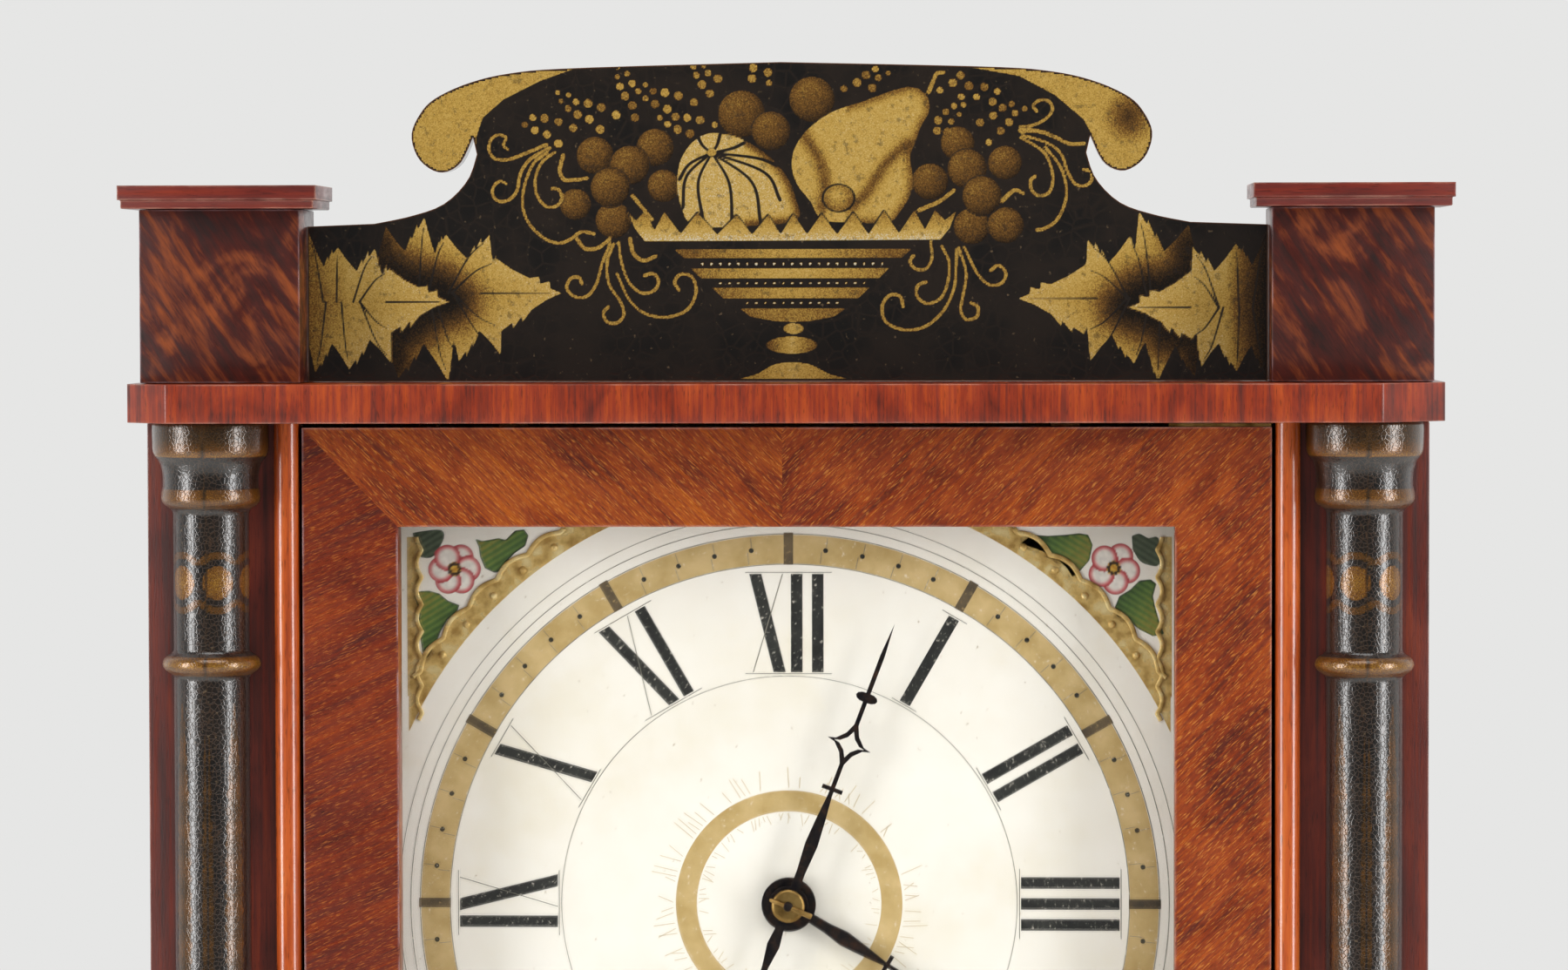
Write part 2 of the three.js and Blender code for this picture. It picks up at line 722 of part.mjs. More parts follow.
// An arbor between the plates, with its two pivots.
function arbor(front = gapFront + endShake) {
  const body = rod(arborRadius, front, gapBack - endShake);
  const backPivot = rod(arborPivot, gapBack - bite, gapBack + pivotReach, 8);
  if (front < frontPlateY) return join(body, backPivot);
  return join(body, backPivot, rod(arborPivot, gapFront - pivotReach, gapFront + bite, 8));
}

function wheelDisc(teeth, module, front, thick, phase) {
  return slab(gearShape(teeth, module, phase), front, front + thick);
}

function pinion(module, front, thick, phase, count = leaves) {
  return slab(gearShape(count, module, phase), front - leafExtra, front + thick + leafExtra);
}

function setWheel(name, place, geometry, material) {
  add(name, geometry, material, movement).position.set(place[0], 0, place[1]);
}

// Going train. Each phase follows from the wheel before it.
const goingGreatY = gapFront + goingGreatLayer;
const centreY = gapFront + centreLayer;
const thirdY = gapFront + thirdLayer;
const escapeY = gapFront + escapeLayer;
const centrePlace = [0, 0];
const centrePinionPhase = meshPhase(winding, centrePlace, greatTeeth, leaves, 0);
const thirdPinionPhase = meshPhase(centrePlace, thirdPlace, centreTeeth, leaves, 0);
const escapePinionPhase = meshPhase(thirdPlace, escapePlace, thirdTeeth, leaves, 0);

function greatWheel(front) {
  const outline = gearShape(greatTeeth, greatModule, 0);
  roundHole(outline, 0, 0, drumArbor + boreClear, 16);
  return slab(outline, front, front + greatThick);
}

// Drum, its ratchet beside the great wheel, and an arbor that ends in a winding square.
function drum(front, back, ratchetFront) {
  const squareEnd = dialFront + squareReach;
  const side = drumArbor * Math.SQRT2;
  const square = board(-side / 2, side / 2, squareEnd, frontPlateY - bite, -side / 2, side / 2);
  const shaft = rod(drumArbor, frontPlateY - bite * 2, gapBack + pivotReach);
  const barrel = rod(drumRadius, front, back, 24);
  const saw = sawShape(ratchetTeeth, ratchetRadius, ratchetRadius - ratchetDepth, ratchetLean);
  const ratchet = slab(saw, ratchetFront, ratchetFront + ratchetThick);
  return join(shaft, square, barrel, ratchet);
}

const drumGap = seat + ratchetThick;
const goingDrumFront = goingGreatY + greatThick + drumGap;
setWheel('time_great_wheel', winding, greatWheel(goingGreatY), cherry);
const goingDrum = drum(goingDrumFront, gapBack - endShake * 4, goingDrumFront - ratchetThick);
setWheel('time_drum', winding, goingDrum, cherry);

const minuteHandY = dialFront - minuteHandStand;
const arborEnd = minuteHandY - handThick - washerThick - arborProud;
setWheel('centre_wheel', centrePlace, join(
  rod(arborRadius, gapFront + endShake, gapBack - endShake),
  rod(arborPivot, gapBack - bite, gapBack + pivotReach, 8),
  rod(centreArbor, arborEnd, gapFront + bite),
  wheelDisc(centreTeeth, trainModule, centreY, wheelThick, 0),
  pinion(greatModule, goingGreatY, greatThick, centrePinionPhase),
), cherry);
setWheel('third_wheel', thirdPlace, join(
  arbor(),
  wheelDisc(thirdTeeth, trainModule, thirdY, wheelThick, 0),
  pinion(trainModule, centreY, wheelThick, thirdPinionPhase),
), cherry);
const escapeSaw = sawShape(escapeTeeth, escapeRadius, escapeRadius - escapeToothDepth, escapeLean);
setWheel('escape_wheel', escapePlace, join(
  arbor(),
  slab(escapeSaw, escapeY, escapeY + escapeThick),
  pinion(trainModule, thirdY, wheelThick, escapePinionPhase),
), cherry);

// Striking train.
const strikeGreatY = gapFront + strikeGreatLayer;
const pinY = gapFront + pinLayer;
const warningY = gapFront + warningLayer;
const countY = frontPlateY - countStand;
const pinPinionPhase = meshPhase(strikeWinding, pinWheelPlace, greatTeeth, leaves, 0);
const warningPinionPhase = meshPhase(pinWheelPlace, warningPlace, thirdTeeth, leaves, 0);
const flyPinionPhase = meshPhase(warningPlace, flyPlace, warningTeeth, leaves, 0);
const countPhase = meshPhase(pinWheelPlace, countPlace, leaves, countTeeth, 0);
const strikeRatchetY = strikeGreatY - drumGap;
setWheel('strike_great_wheel', strikeWinding, greatWheel(strikeGreatY), cherry);
const strikeDrum = drum(gapFront + endShake * 4, strikeRatchetY, strikeRatchetY);
setWheel('strike_drum', strikeWinding, strikeDrum, cherry);

const liftingPins = [];
for (let i = 0; i < pinCount; i += 1) {
  const angle = (TURN * i) / pinCount + firstPin;
  const pin = rod(pinRadius, pinY + wheelThick - bite, pinY + wheelThick + pinLength, 5);
  liftingPins.push(pin.translate(pinCircle * Math.cos(angle), 0, pinCircle * Math.sin(angle)));
}
setWheel('pin_wheel', pinWheelPlace, join(
  arbor(countY - leafExtra),
  wheelDisc(thirdTeeth, trainModule, pinY, wheelThick, 0),
  pinion(greatModule, strikeGreatY, greatThick, pinPinionPhase),
  pinion(countModule, countY, countThick, 0),
  ...liftingPins,
), cherry);
setWheel('warning_wheel', warningPlace, join(
  arbor(),
  wheelDisc(warningTeeth, trainModule, warningY, wheelThick, 0),
  pinion(trainModule, pinY, wheelThick, warningPinionPhase),
), cherry);
const flyY = gapFront + flyLayer;
setWheel('fly', flyPlace, join(
  arbor(),
  board(-flyRadius, flyRadius, flyY, flyY + flyWidth, -flyThick / 2, flyThick / 2),
  pinion(trainModule, warningY, wheelThick, flyPinionPhase),
), cherry);
setWheel('count_wheel', countPlace, join(
  slab(gearShape(countTeeth, countModule, countPhase), countY, countY + countThick),
  rod(arborRadius, countY - bite, frontPlateY - seat, 10),
  rod(arborPivot, countY, frontPlateY + pivotReach, 8),
), cherry);

// Motion work in front of the front plate: cannon pinion, motion wheel, hour wheel and pipe.
const cannonModule = (motionPitch * 2) / (cannonLeaves + motionTeeth);
const hourModule = (motionPitch * 2) / (cannonLeaves + hourTeeth);
const cannonY = frontPlateY - motionGap - motionThick;
const hourWheelY = cannonY - motionGap - motionThick;
const hourHandY = dialFront - hourHandStand;
const hourWheelPhase = 0;
const motionPinionPhase = meshPhase(centrePlace, motionPlace, hourTeeth, cannonLeaves, hourWheelPhase);
const motionWheelPhase = meshPhase(centrePlace, motionPlace, cannonLeaves, motionTeeth, 0);

function ring(inner, outer, y0, y1, sides = 12) {
  const outline = new THREE.Shape();
  outline.absarc(0, 0, outer, 0, TURN, false);
  roundHole(outline, 0, 0, inner, sides);
  return slab(outline, y0, y1, sides / 2);
}

const washerBack = minuteHandY - handThick - seat;
const cannonPipe = ring(cannonBore, cannonRadius, washerBack - washerThick / 2, gapFront - endShake);
const washer = ring(cannonBore, washerRadius, washerBack - washerThick, washerBack);
const cannonGear = gearShape(cannonLeaves, cannonModule, 0);
roundHole(cannonGear, 0, 0, cannonBore);
setWheel('minute_cannon', centrePlace, join(
  cannonPipe, washer, slab(cannonGear, cannonY, cannonY + motionThick),
), brass);

const hourGear = gearShape(hourTeeth, hourModule, hourWheelPhase);
roundHole(hourGear, 0, 0, hourBore);
setWheel('hour_wheel', centrePlace, join(
  slab(hourGear, hourWheelY, hourWheelY + motionThick),
  ring(hourBore, hourPipe, hourHandY - handThick, hourWheelY + bite),
), cherry);
setWheel('motion_wheel', motionPlace, join(
  slab(gearShape(motionTeeth, cannonModule, motionWheelPhase), cannonY, cannonY + motionThick),
  slab(gearShape(cannonLeaves, hourModule, motionPinionPhase), hourWheelY, cannonY + bite),
  rod(arborPivot, cannonY, frontPlateY + pivotReach, 8),
), cherry);

// ---- Hands ------------------------------------------------------------------

// Half-width of the hand at stations along it, mirrored; the open diamond is a hole.
function handOutline(stations, bore, hole) {
  const right = stations.map(([along, half]) => [half, along]);
  const left = right.filter(([half]) => half > 0).map(([half, along]) => [-half, along]).reverse();
  const outline = shapeOf([...right, ...left]);
  roundHole(outline, 0, 0, bore, 16);
  outline.holes.push(new THREE.Path(hole.map(([x, z]) => new THREE.Vector2(x, z))));
  return outline;
}

// Stations of a round boss between two angles from the tip's direction.
function bossStations(radius, from, to, steps) {
  const stations = [];
  for (let i = 0; i <= steps; i += 1) {
    const angle = from + ((to - from) * i) / steps;
    stations.push([radius * Math.cos(angle), radius * Math.sin(angle)]);
  }
  return stations;
}

// A short cross bar on the hand.
function crossBar(middle) {
  return [[middle - barHalf, wireHalf], [middle - barHalf, barReach], [middle + barHalf, barReach],
    [middle + barHalf, wireHalf]];
}

// Concave-sided diamond from `start` over `length`: outer stations and the hole's corners.
function diamond(start, length, half, band) {
  const outer = diamondCurve.map(([t, w]) => [start + t * length, wireHalf + w * (half - wireHalf)]);
  const low = start + band * 2.6;
  const span = length - band * 5.2;
  const inner = diamondCurve.map(([t, w]) => [w * (half - band * 2.4), low + t * span]);
  const hole = [...inner, ...inner.slice(1, -1).map(([x, z]) => [-x, z]).reverse()];
  return { outer, hole };
}

const minuteDiamond = diamond(...minuteDiamondSpan, diamondHalf, diamondBand);
const minuteStations = [
  ...minuteTailCurve, ...bossStations(minuteBoss, Math.PI - 0.22, 0.24, 12), ...minuteSwell,
  ...crossBar(minuteBar), ...minuteDiamond.outer, ...minuteCollar, ...minuteTip,
];
const minuteOutline = handOutline(minuteStations, cannonRadius + boreClear, minuteDiamond.hole);
const minuteHand = add('minute_hand', slab(minuteOutline, minuteHandY - handThick, minuteHandY), steel,
  movement);
minuteHand.rotation.y = THREE.MathUtils.degToRad(minuteAngle);

const hourDiamond = diamond(...hourDiamondSpan, diamondHalf - hourDiamondLess, diamondBand);
const hourStations = [
  [-hourBoss, 0], ...bossStations(hourBoss, Math.PI - 0.12, 0.18, 14), ...hourSwell,
  ...crossBar(hourBar), ...hourDiamond.outer, ...hourTip,
];
const hourOutline = handOutline(hourStations, hourPipe + boreClear, hourDiamond.hole);
const hourHand = add('hour_hand', slab(hourOutline, hourHandY - handThick, hourHandY), steel, movement);
hourHand.rotation.y = THREE.MathUtils.degToRad(hourAngle);

// ---- Escapement and pendulum ------------------------------------------------

// A wire or cord through points, as a tube of few sides with a ring at each point.
function wire(points, radius, sides = 6) {
  const bends = points.map((point) => new THREE.Vector3(...point));
  const path = new THREE.CatmullRomCurve3(bends, false, 'centripetal');
  path.getUtoTmapping = (u) => u;
  const section = new THREE.Shape(Array.from({ length: sides }, (_, i) => {
    const angle = (TURN * i) / sides;
    return new THREE.Vector2(radius * Math.cos(angle), radius * Math.sin(angle));
  }));
  const steps = points.length - 1;
  return new THREE.ExtrudeGeometry(section, { steps, bevelEnabled: false, extrudePath: path });
}

// Verge: arbor, bent steel strip with two pallets over the escape wheel, and the crutch outside.
const palletReach = escapeRadius + palletGap;
function palletStrip() {
  const points = [];
  for (const [reach, way] of [[palletReach, 1], [palletReach + palletThick, -1]]) {
    for (let i = 0; i <= 6; i += 1) {
      const angle = QUARTER + way * palletSpread * (1 - i / 3);
      points.push([reach * Math.cos(angle), reach * Math.sin(angle) - vergeRise]);
    }
  }
  return slab(shapeOf(points), escapeY, escapeY + escapeThick);
}
const vergeFront = frontPlateY - crutchStand;
const crutchY = vergeFront + crutchWire;
const stemTop = -vergeRise + palletReach + palletThick / 2;
const forkFront = rodY - forkReach;
const prongs = [-1, 1].map((side) => board(
  side * crutchSpread - crutchWire, side * crutchSpread + crutchWire,
  forkFront, crutchY + crutchWire, -crutchLength - crutchWire, -crutchLength + crutchWire,
));
const verge = add('verge', join(
  rod(vergeArbor, vergeFront, gapBack - endShake, 10),
  rod(arborPivot, gapBack - bite, gapBack + pivotReach, 8),
  palletStrip(),
  board(-palletStem, palletStem, escapeY, escapeY + escapeThick, stemTop, 0),
  board(-crutchWire, crutchWire, vergeFront, vergeFront + crutchWire * 2, -crutchLength, 0),
  board(-crutchSpread - crutchWire, crutchSpread + crutchWire, vergeFront, vergeFront + crutchWire * 2,
    -crutchLength - crutchWire, -crutchLength + crutchWire),
  ...prongs,
), steel, movement);
verge.position.set(vergePlace[0], 0, vergePlace[1]);

const bobZ = vergePlace[1] - pendulumLength;
const rodTop = vergePlace[1] + springRise;
const rodFoot = bobZ + bobRadius + seat;
add('pendulum_rod', new THREE.CylinderGeometry(pendulumRod, pendulumRod, rodTop - rodFoot, 8)
  .rotateX(QUARTER).translate(vergePlace[0], rodY, (rodTop + rodFoot) / 2), brass, movement);
const bobProfile = [[0, -bobThick / 2], [bobRadius * 0.55, -bobThick * 0.42],
  [bobRadius * 0.88, -bobThick * 0.2], [bobRadius, 0], [bobRadius * 0.88, bobThick * 0.2],
  [bobRadius * 0.55, bobThick * 0.42], [0, bobThick / 2]];
const bob = add('pendulum_bob',
  new THREE.LatheGeometry(bobProfile.map(([r, y]) => new THREE.Vector2(r, y)), 24), brass, movement);
bob.position.set(vergePlace[0], rodY, bobZ);

// ---- Bell and hammer --------------------------------------------------------
const bellMouth = backBoardFront - bellBackGap;
const bellFront = bellMouth - bellDepth;
const bellProfile = [
  [bellRadius, bellMouth], [bellRadius * 0.95, bellMouth - bellDepth * 0.35],
  [bellRadius * 0.8, bellMouth - bellDepth * 0.72], [bellRadius * 0.5, bellFront + bellCrown],
  [bellPost * 1.5, bellFront],
  [bellPost * 1.5, bellFront + bellWall], [bellRadius * 0.5 - 1, bellFront + bellCrown + bellWall],
  [bellRadius * 0.8 - bellWall, bellMouth - bellDepth * 0.66],
  [bellRadius * 0.95 - bellWall, bellMouth - bellDepth * 0.3], [bellRadius - bellWall, bellMouth],
];
const bellRing = [...bellProfile, bellProfile[0]].map(([r, y]) => new THREE.Vector2(r, y));
const bell = add('bell', join(
  new THREE.LatheGeometry(bellRing, 24),
  rod(bellPost, bellFront - bellNut * 2, backBoardFront - glueLine),
  rod(bellPost * 1.75, bellFront - bellNut, bellFront + bellWall, 6),
), iron, movement);
bell.position.z = -bellDrop;

const headY = bellMouth - hammerHeadSetback;
const headX = -(bellRadius * 0.95) - hammerRest - hammerHeadLength / 2;
const hammerY = gapFront + hammerLayer;
const strikePoint = [headX - hammerPlace[0], headY, -bellDrop - hammerPlace[1]];
const hammerHeadSolid = rod(hammerHead, -hammerHeadLength / 2, hammerHeadLength / 2, 14)
  .rotateZ(QUARTER).translate(...strikePoint);
const tailHalf = hammerTailThick / 2;
const hammerTail = board(0, hammerTailReach, pinY + wheelThick + seat, pinY + wheelThick + pinLength,
  -tailHalf, tailHalf).rotateY(-direction(hammerPlace, pinWheelPlace));
const hammerRoute = [
  ...hammerBends.map(([x, y, z]) => [x, hammerY + y, z]),
  [hammerNeck[0], headY - hammerNeck[1], hammerNeck[2]],
  strikePoint,
];
const hammer = add('hammer', join(
  arbor(),
  hammerTail,
  wire(hammerRoute, hammerWire),
  hammerHeadSolid,
), steel, movement);
hammer.position.set(hammerPlace[0], 0, hammerPlace[1]);

// ---- Pulleys, cords and weights ---------------------------------------------
const grooveFloor = pulleyCordRadius - cordRadius - cordGap;
const pulleyHalf = pulleyWidth / 2;
const pulleyTurning = [[0, -pulleyPinHalf], [pulleyPin, -pulleyPinHalf], [pulleyPin, -pulleyHalf],
  [pulleyRadius, -pulleyHalf], [pulleyRadius, -pulleyHalf + pulleyRim],
  [grooveFloor, -grooveHalf], [grooveFloor, grooveHalf],
  [pulleyRadius, pulleyHalf - pulleyRim], [pulleyRadius, pulleyHalf], [pulleyPin, pulleyHalf],
  [pulleyPin, pulleyPinHalf], [0, pulleyPinHalf]];
const weightFoot = corniceThick + weightFloorGap;
const hookZ = weightFoot + weightHeight + hookStem + hookRadius;
const cordFoot = hookZ + hookRadius + hookWire + seat;

// Cord from the drum's outer side, up behind the dial, over the pulley and down to its outer side.
function cordRun(side) {
  const drumCentre = new THREE.Vector2(winding[0], dialZ + winding[1]);
  const wheelCentre = new THREE.Vector2(pulleyPlace, pulleyZ);
  const between = wheelCentre.clone().sub(drumCentre);
  const lean = Math.acos((drumCordRadius + cordGap + pulleyCordRadius) / between.length());
  const normal = between.angle() - lean;
  const out = new THREE.Vector2(Math.cos(normal), Math.sin(normal));
  const start = drumCentre.clone().addScaledVector(out, drumCordRadius + cordGap);
  const touch = wheelCentre.clone().addScaledVector(out, -pulleyCordRadius);
  const points = [start, start.clone().lerp(touch, 0.4), start.clone().lerp(touch, 0.8), touch];
  const arcSteps = 10;
  for (let i = 1; i <= arcSteps; i += 1) {
    const angle = (normal + Math.PI) * (1 - i / arcSteps);
    const spoke = new THREE.Vector2(Math.cos(angle), Math.sin(angle));
    points.push(wheelCentre.clone().addScaledVector(spoke, pulleyCordRadius));
  }
  return wire(points.map((point) => [side * point.x, cordY, point.y]), cordRadius, 8);
}

// Cast weight: a slightly tapered block with a wire eye.
function weightSolid() {
  const half = weightWidth / 2;
  const depth = weightDepth / 2;
  const block = new THREE.BoxGeometry(weightWidth, weightDepth, weightHeight);
  block.translate(0, 0, weightHeight / 2);
  const place = block.getAttribute('position');
  for (let i = 0; i < place.count; i += 1) {
    if (place.getZ(i) < 1) continue;
    place.setX(i, Math.sign(place.getX(i)) * (half - weightTaper));
    place.setY(i, Math.sign(place.getY(i)) * (depth - weightTaper));
  }
  const stem = new THREE.CylinderGeometry(hookWire, hookWire, hookStem + 2, 8).rotateX(QUARTER)
    .translate(0, 0, weightHeight + hookStem / 2);
  const eye = new THREE.TorusGeometry(hookRadius, hookWire, 6, 14).rotateX(QUARTER)
    .translate(0, 0, weightHeight + hookStem + hookRadius);
  return join(block, stem, eye);
}

for (const [name, side] of [['time', 1], ['strike', -1]]) {
  const pulley = add(`${name}_pulley`,
    new THREE.LatheGeometry(pulleyTurning.map(([r, y]) => new THREE.Vector2(r, y)), 16), cherry);
  pulley.position.set(side * pulleyPlace, cordY, pulleyZ);
  add(`${name}_cord_run`, cordRun(side), cotton);
  const dropLength = pulleyZ - seat - cordFoot;
  const drop = add(`${name}_cord_drop`,
    new THREE.CylinderGeometry(cordRadius, cordRadius, dropLength, 8).rotateX(QUARTER), cotton);
  drop.position.set(side * weightX, cordY, cordFoot + dropLength / 2);
  const weight = add(`${name}_weight`, weightSolid(), iron);
  weight.position.set(side * weightX, cordY, weightFoot);
}

export default clock;
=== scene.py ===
import math
import bpy
import numpy as np
from mathutils import Matrix, Vector


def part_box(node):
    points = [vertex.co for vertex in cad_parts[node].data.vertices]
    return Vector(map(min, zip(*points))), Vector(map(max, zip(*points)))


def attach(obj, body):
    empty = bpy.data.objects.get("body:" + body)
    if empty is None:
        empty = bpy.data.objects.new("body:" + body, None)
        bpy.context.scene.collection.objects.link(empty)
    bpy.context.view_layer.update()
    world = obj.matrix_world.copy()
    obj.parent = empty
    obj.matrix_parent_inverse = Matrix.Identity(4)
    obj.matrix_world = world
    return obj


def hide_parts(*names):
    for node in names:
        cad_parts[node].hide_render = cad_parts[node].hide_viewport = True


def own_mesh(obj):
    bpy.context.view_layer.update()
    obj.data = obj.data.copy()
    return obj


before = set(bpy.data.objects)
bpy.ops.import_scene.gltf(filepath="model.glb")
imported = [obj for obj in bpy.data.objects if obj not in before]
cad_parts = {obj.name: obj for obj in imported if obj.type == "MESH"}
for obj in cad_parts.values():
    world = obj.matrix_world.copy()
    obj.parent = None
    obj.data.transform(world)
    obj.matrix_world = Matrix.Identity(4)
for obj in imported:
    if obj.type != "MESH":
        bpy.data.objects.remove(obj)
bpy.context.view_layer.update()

# Camera: a long lens a little to the right of the clock and level with its dial, looking slightly
# down and to the left at the top of the case.
yaw, pitch, roll = -0.03865, -0.03689, -0.00199
forward = Vector((math.sin(yaw) * math.cos(pitch), math.cos(yaw) * math.cos(pitch),
                  math.sin(pitch)))
level_right = Vector((math.cos(yaw), -math.sin(yaw), 0))
level_up = level_right.cross(forward)
right = math.cos(roll) * level_right + math.sin(roll) * level_up
up = math.cos(roll) * level_up - math.sin(roll) * level_right
camera = bpy.data.objects.new("camera", bpy.data.cameras.new("camera"))
camera.data.lens, camera.data.sensor_width = 121.27, 36
camera.matrix_world = Matrix(((right.x, up.x, -forward.x, 0.06728),
                              (right.y, up.y, -forward.y, -1.7885),
                              (right.z, up.z, -forward.z, 0.78793), (0, 0, 0, 1)))
bpy.context.collection.objects.link(camera)
bpy.context.scene.camera = camera
bpy.context.scene.view_settings.view_transform = "Standard"


# Light: two tall soft boxes to the left and right of the camera, which the round lacquered columns
# show as two upright streaks, a wide one overhead, and a room that is pale behind the clock and
# dark behind the camera, as a studio is.
def linear(code):
    """An sRGB hex colour as linear red, green, blue and 1."""
    parts = [int(code[k:k + 2], 16) / 255 for k in (1, 3, 5)]
    return [c / 12.92 if c <= 0.04045 else ((c + 0.055) / 1.055) ** 2.4 for c in parts] + [1]


def fill(node, values):
    """Sets each input of a shader node to its value, or links it to the socket, or to the first
    output of the node, given. A hex code is a colour."""
    for key, value in values.items():
        if isinstance(value, bpy.types.Node):
            value = value.outputs[0]
        if isinstance(value, bpy.types.NodeSocket):
            node.id_data.links.new(value, node.inputs[key])
        else:
            node.inputs[key].default_value = linear(value) if isinstance(value, str) else value


def add(tree, kind, values=None, stops=(), **settings):
    """Adds one shader node with its settings and fills its inputs. Stops are a colour ramp's
    positions, with their colours or grey levels."""
    made = tree.nodes.new("ShaderNode" + kind)
    for key, value in settings.items():
        setattr(made, key, value)
    fill(made, values or {})
    for number, (position, colour) in enumerate(stops):
        band = made.color_ramp.elements
        element = band[number] if number < len(band) else band.new(position)
        element.position = position
        element.color = linear(colour) if isinstance(colour, str) else (colour,) * 3 + (1,)
    return made


def soft_box(name, place, aim, wide, tall, power):
    """An area light, wide by tall metres, at a place and turned to face its aim."""
    lamp = bpy.data.objects.new(name, bpy.data.lights.new(name, "AREA"))
    lamp.data.shape, lamp.data.size, lamp.data.size_y = "RECTANGLE", wide, tall
    lamp.data.energy = power
    lamp.location = place
    lamp.rotation_euler = (Vector(aim) - Vector(place)).to_track_quat("-Z", "Y").to_euler()
    bpy.context.collection.objects.link(lamp)


soft_box("left_soft_box", (-1.53, -0.95, 0.85), (0, 0, 0.62), 0.5, 1.5, 20)
soft_box("right_soft_box", (1.53, -0.95, 0.85), (0, 0, 0.62), 0.5, 1.5, 20)
soft_box("overhead_soft_box", (0, -0.9, 2.3), (0, 0.1, 0.7), 1.6, 0.9, 13)
world = bpy.data.worlds.new("room")
world.use_nodes = True
sky = world.node_tree
pale = sky.nodes["Background"]
pale_level, room_level, dark_level = 0.82, 0.5, 0.08
ray = add(sky, "LightPath").outputs
toward = add(sky, "SeparateXYZ",
             {"Vector": add(sky, "TexCoord").outputs["Generated"]}).outputs["Y"]
behind = add(sky, "MapRange", {"From Min": -0.3, "From Max": 0.4, "To Min": dark_level,
                               "To Max": pale_level, "Value": toward})
seen = add(sky, "Math", {0: ray["Is Camera Ray"], 1: ray["Is Transmission Ray"]},
           operation="MAXIMUM")
mirrored = add(sky, "Mix", {0: ray["Is Glossy Ray"], 2: room_level, 3: behind})
strength = add(sky, "Mix", {0: seen, 2: mirrored, 3: pale_level})
fill(pale, {"Color": "#fbfbfa", "Strength": strength})
bpy.context.scene.world = world


# Floor: a square sheet of pale matt paper under the clock, which fades into the background.
def grid_mesh(name, points, close_u=False, caps=False):
    """A mesh of quads over a grid of points, shape (rows, columns, 3) in metres. close_u joins the
    last column to the first, and caps fills both end rows."""
    rows, columns = points.shape[:2]
    index = np.arange(rows * columns).reshape(rows, columns)
    if close_u:
        index = np.concatenate([index, index[:, :1]], axis=1)
    quads = np.stack([index[:-1, :-1], index[:-1, 1:], index[1:, 1:], index[1:, :-1]], axis=-1)
    faces = quads.reshape(-1, 4).tolist()
    if caps:
        last_row = rows * columns - columns
        faces += [list(range(columns))[::-1], list(range(last_row, rows * columns))]
    mesh = bpy.data.meshes.new(name)
    mesh.from_pydata(points.reshape(-1, 3), [], faces)
    mesh.polygons.foreach_set("use_smooth", [len(face) == 4 for face in faces])
    mesh.update()
    made = bpy.data.objects.new(name, mesh)
    bpy.context.collection.objects.link(made)
    return made


def material(name, roughness=0.5, metallic=0.0):
    """A new node material: the material, its node tree, its Principled shader and the object
    coordinates of its patterns."""
    made = bpy.data.materials.new(name)
    made.use_nodes = True
    shader = made.node_tree.nodes["Principled BSDF"]
    fill(shader, {"Roughness": roughness, "Metallic": metallic})
    return made, made.node_tree, shader, add(made.node_tree, "TexCoord").outputs["Object"]


half = 2.4
floor = grid_mesh("paper_floor", np.array([[(-half, -half, 0), (half, -half, 0)],
                                           [(-half, half, 0), (half, half, 0)]]))
# Uncoated paper: pale grey, quite matt, with a faint fibre. Its outer part shows as background.
paper_material, tree, shader, place = material("pale matt floor paper", 0.9)
fibre = add(tree, "TexNoise", {"Scale": 300.0, "Detail": 2.0, "Vector": place})
fill(shader,
     {"Base Color": add(tree, "ValToRGB", {"Fac": fibre}, [(0.0, "#e4e3e0"), (1.0, "#eeedea")])})
away = add(tree, "VectorMath", {0: place}, operation="LENGTH").outputs["Value"]
fade = add(tree, "MapRange", {"From Min": 0.3, "From Max": 1.5, "Value": away},
           interpolation_type="SMOOTHSTEP")
fade = add(tree, "Math", {0: fade, 1: add(tree, "LightPath").outputs["Is Camera Ray"]},
           operation="MULTIPLY")
glow = add(tree, "Emission", {"Color": "#fbfbfa", "Strength": pale_level})
faded = add(tree, "MixShader", {0: fade, 1: shader.outputs[0], 2: glow})
fill(tree.nodes["Material Output"], {"Surface": faded})
floor.data.materials.append(paper_material)


# Woods of the case. Mahogany veneer was laid with its grain across the cornice and the door, over
# a pine carcass, and finished with shellac that has worn pale along the arrises; that pale arris
# colour is also a painted highlight of the rounded edges.
def arris(tree, reach):
    """1 at a sharp edge and 0 a reach in metres away from it: how far the normal, rounded over
    that reach, leans from the face's own normal."""
    rounded = add(tree, "Bevel", {"Radius": reach}, samples=6)
    plain = add(tree, "NewGeometry")
    lean = add(tree, "VectorMath", {0: rounded, 1: plain.outputs["Normal"]},
               operation="DOT_PRODUCT")
    return add(tree, "MapRange",
               {"From Min": 0.995, "From Max": 0.80, "Value": lean.outputs["Value"]})


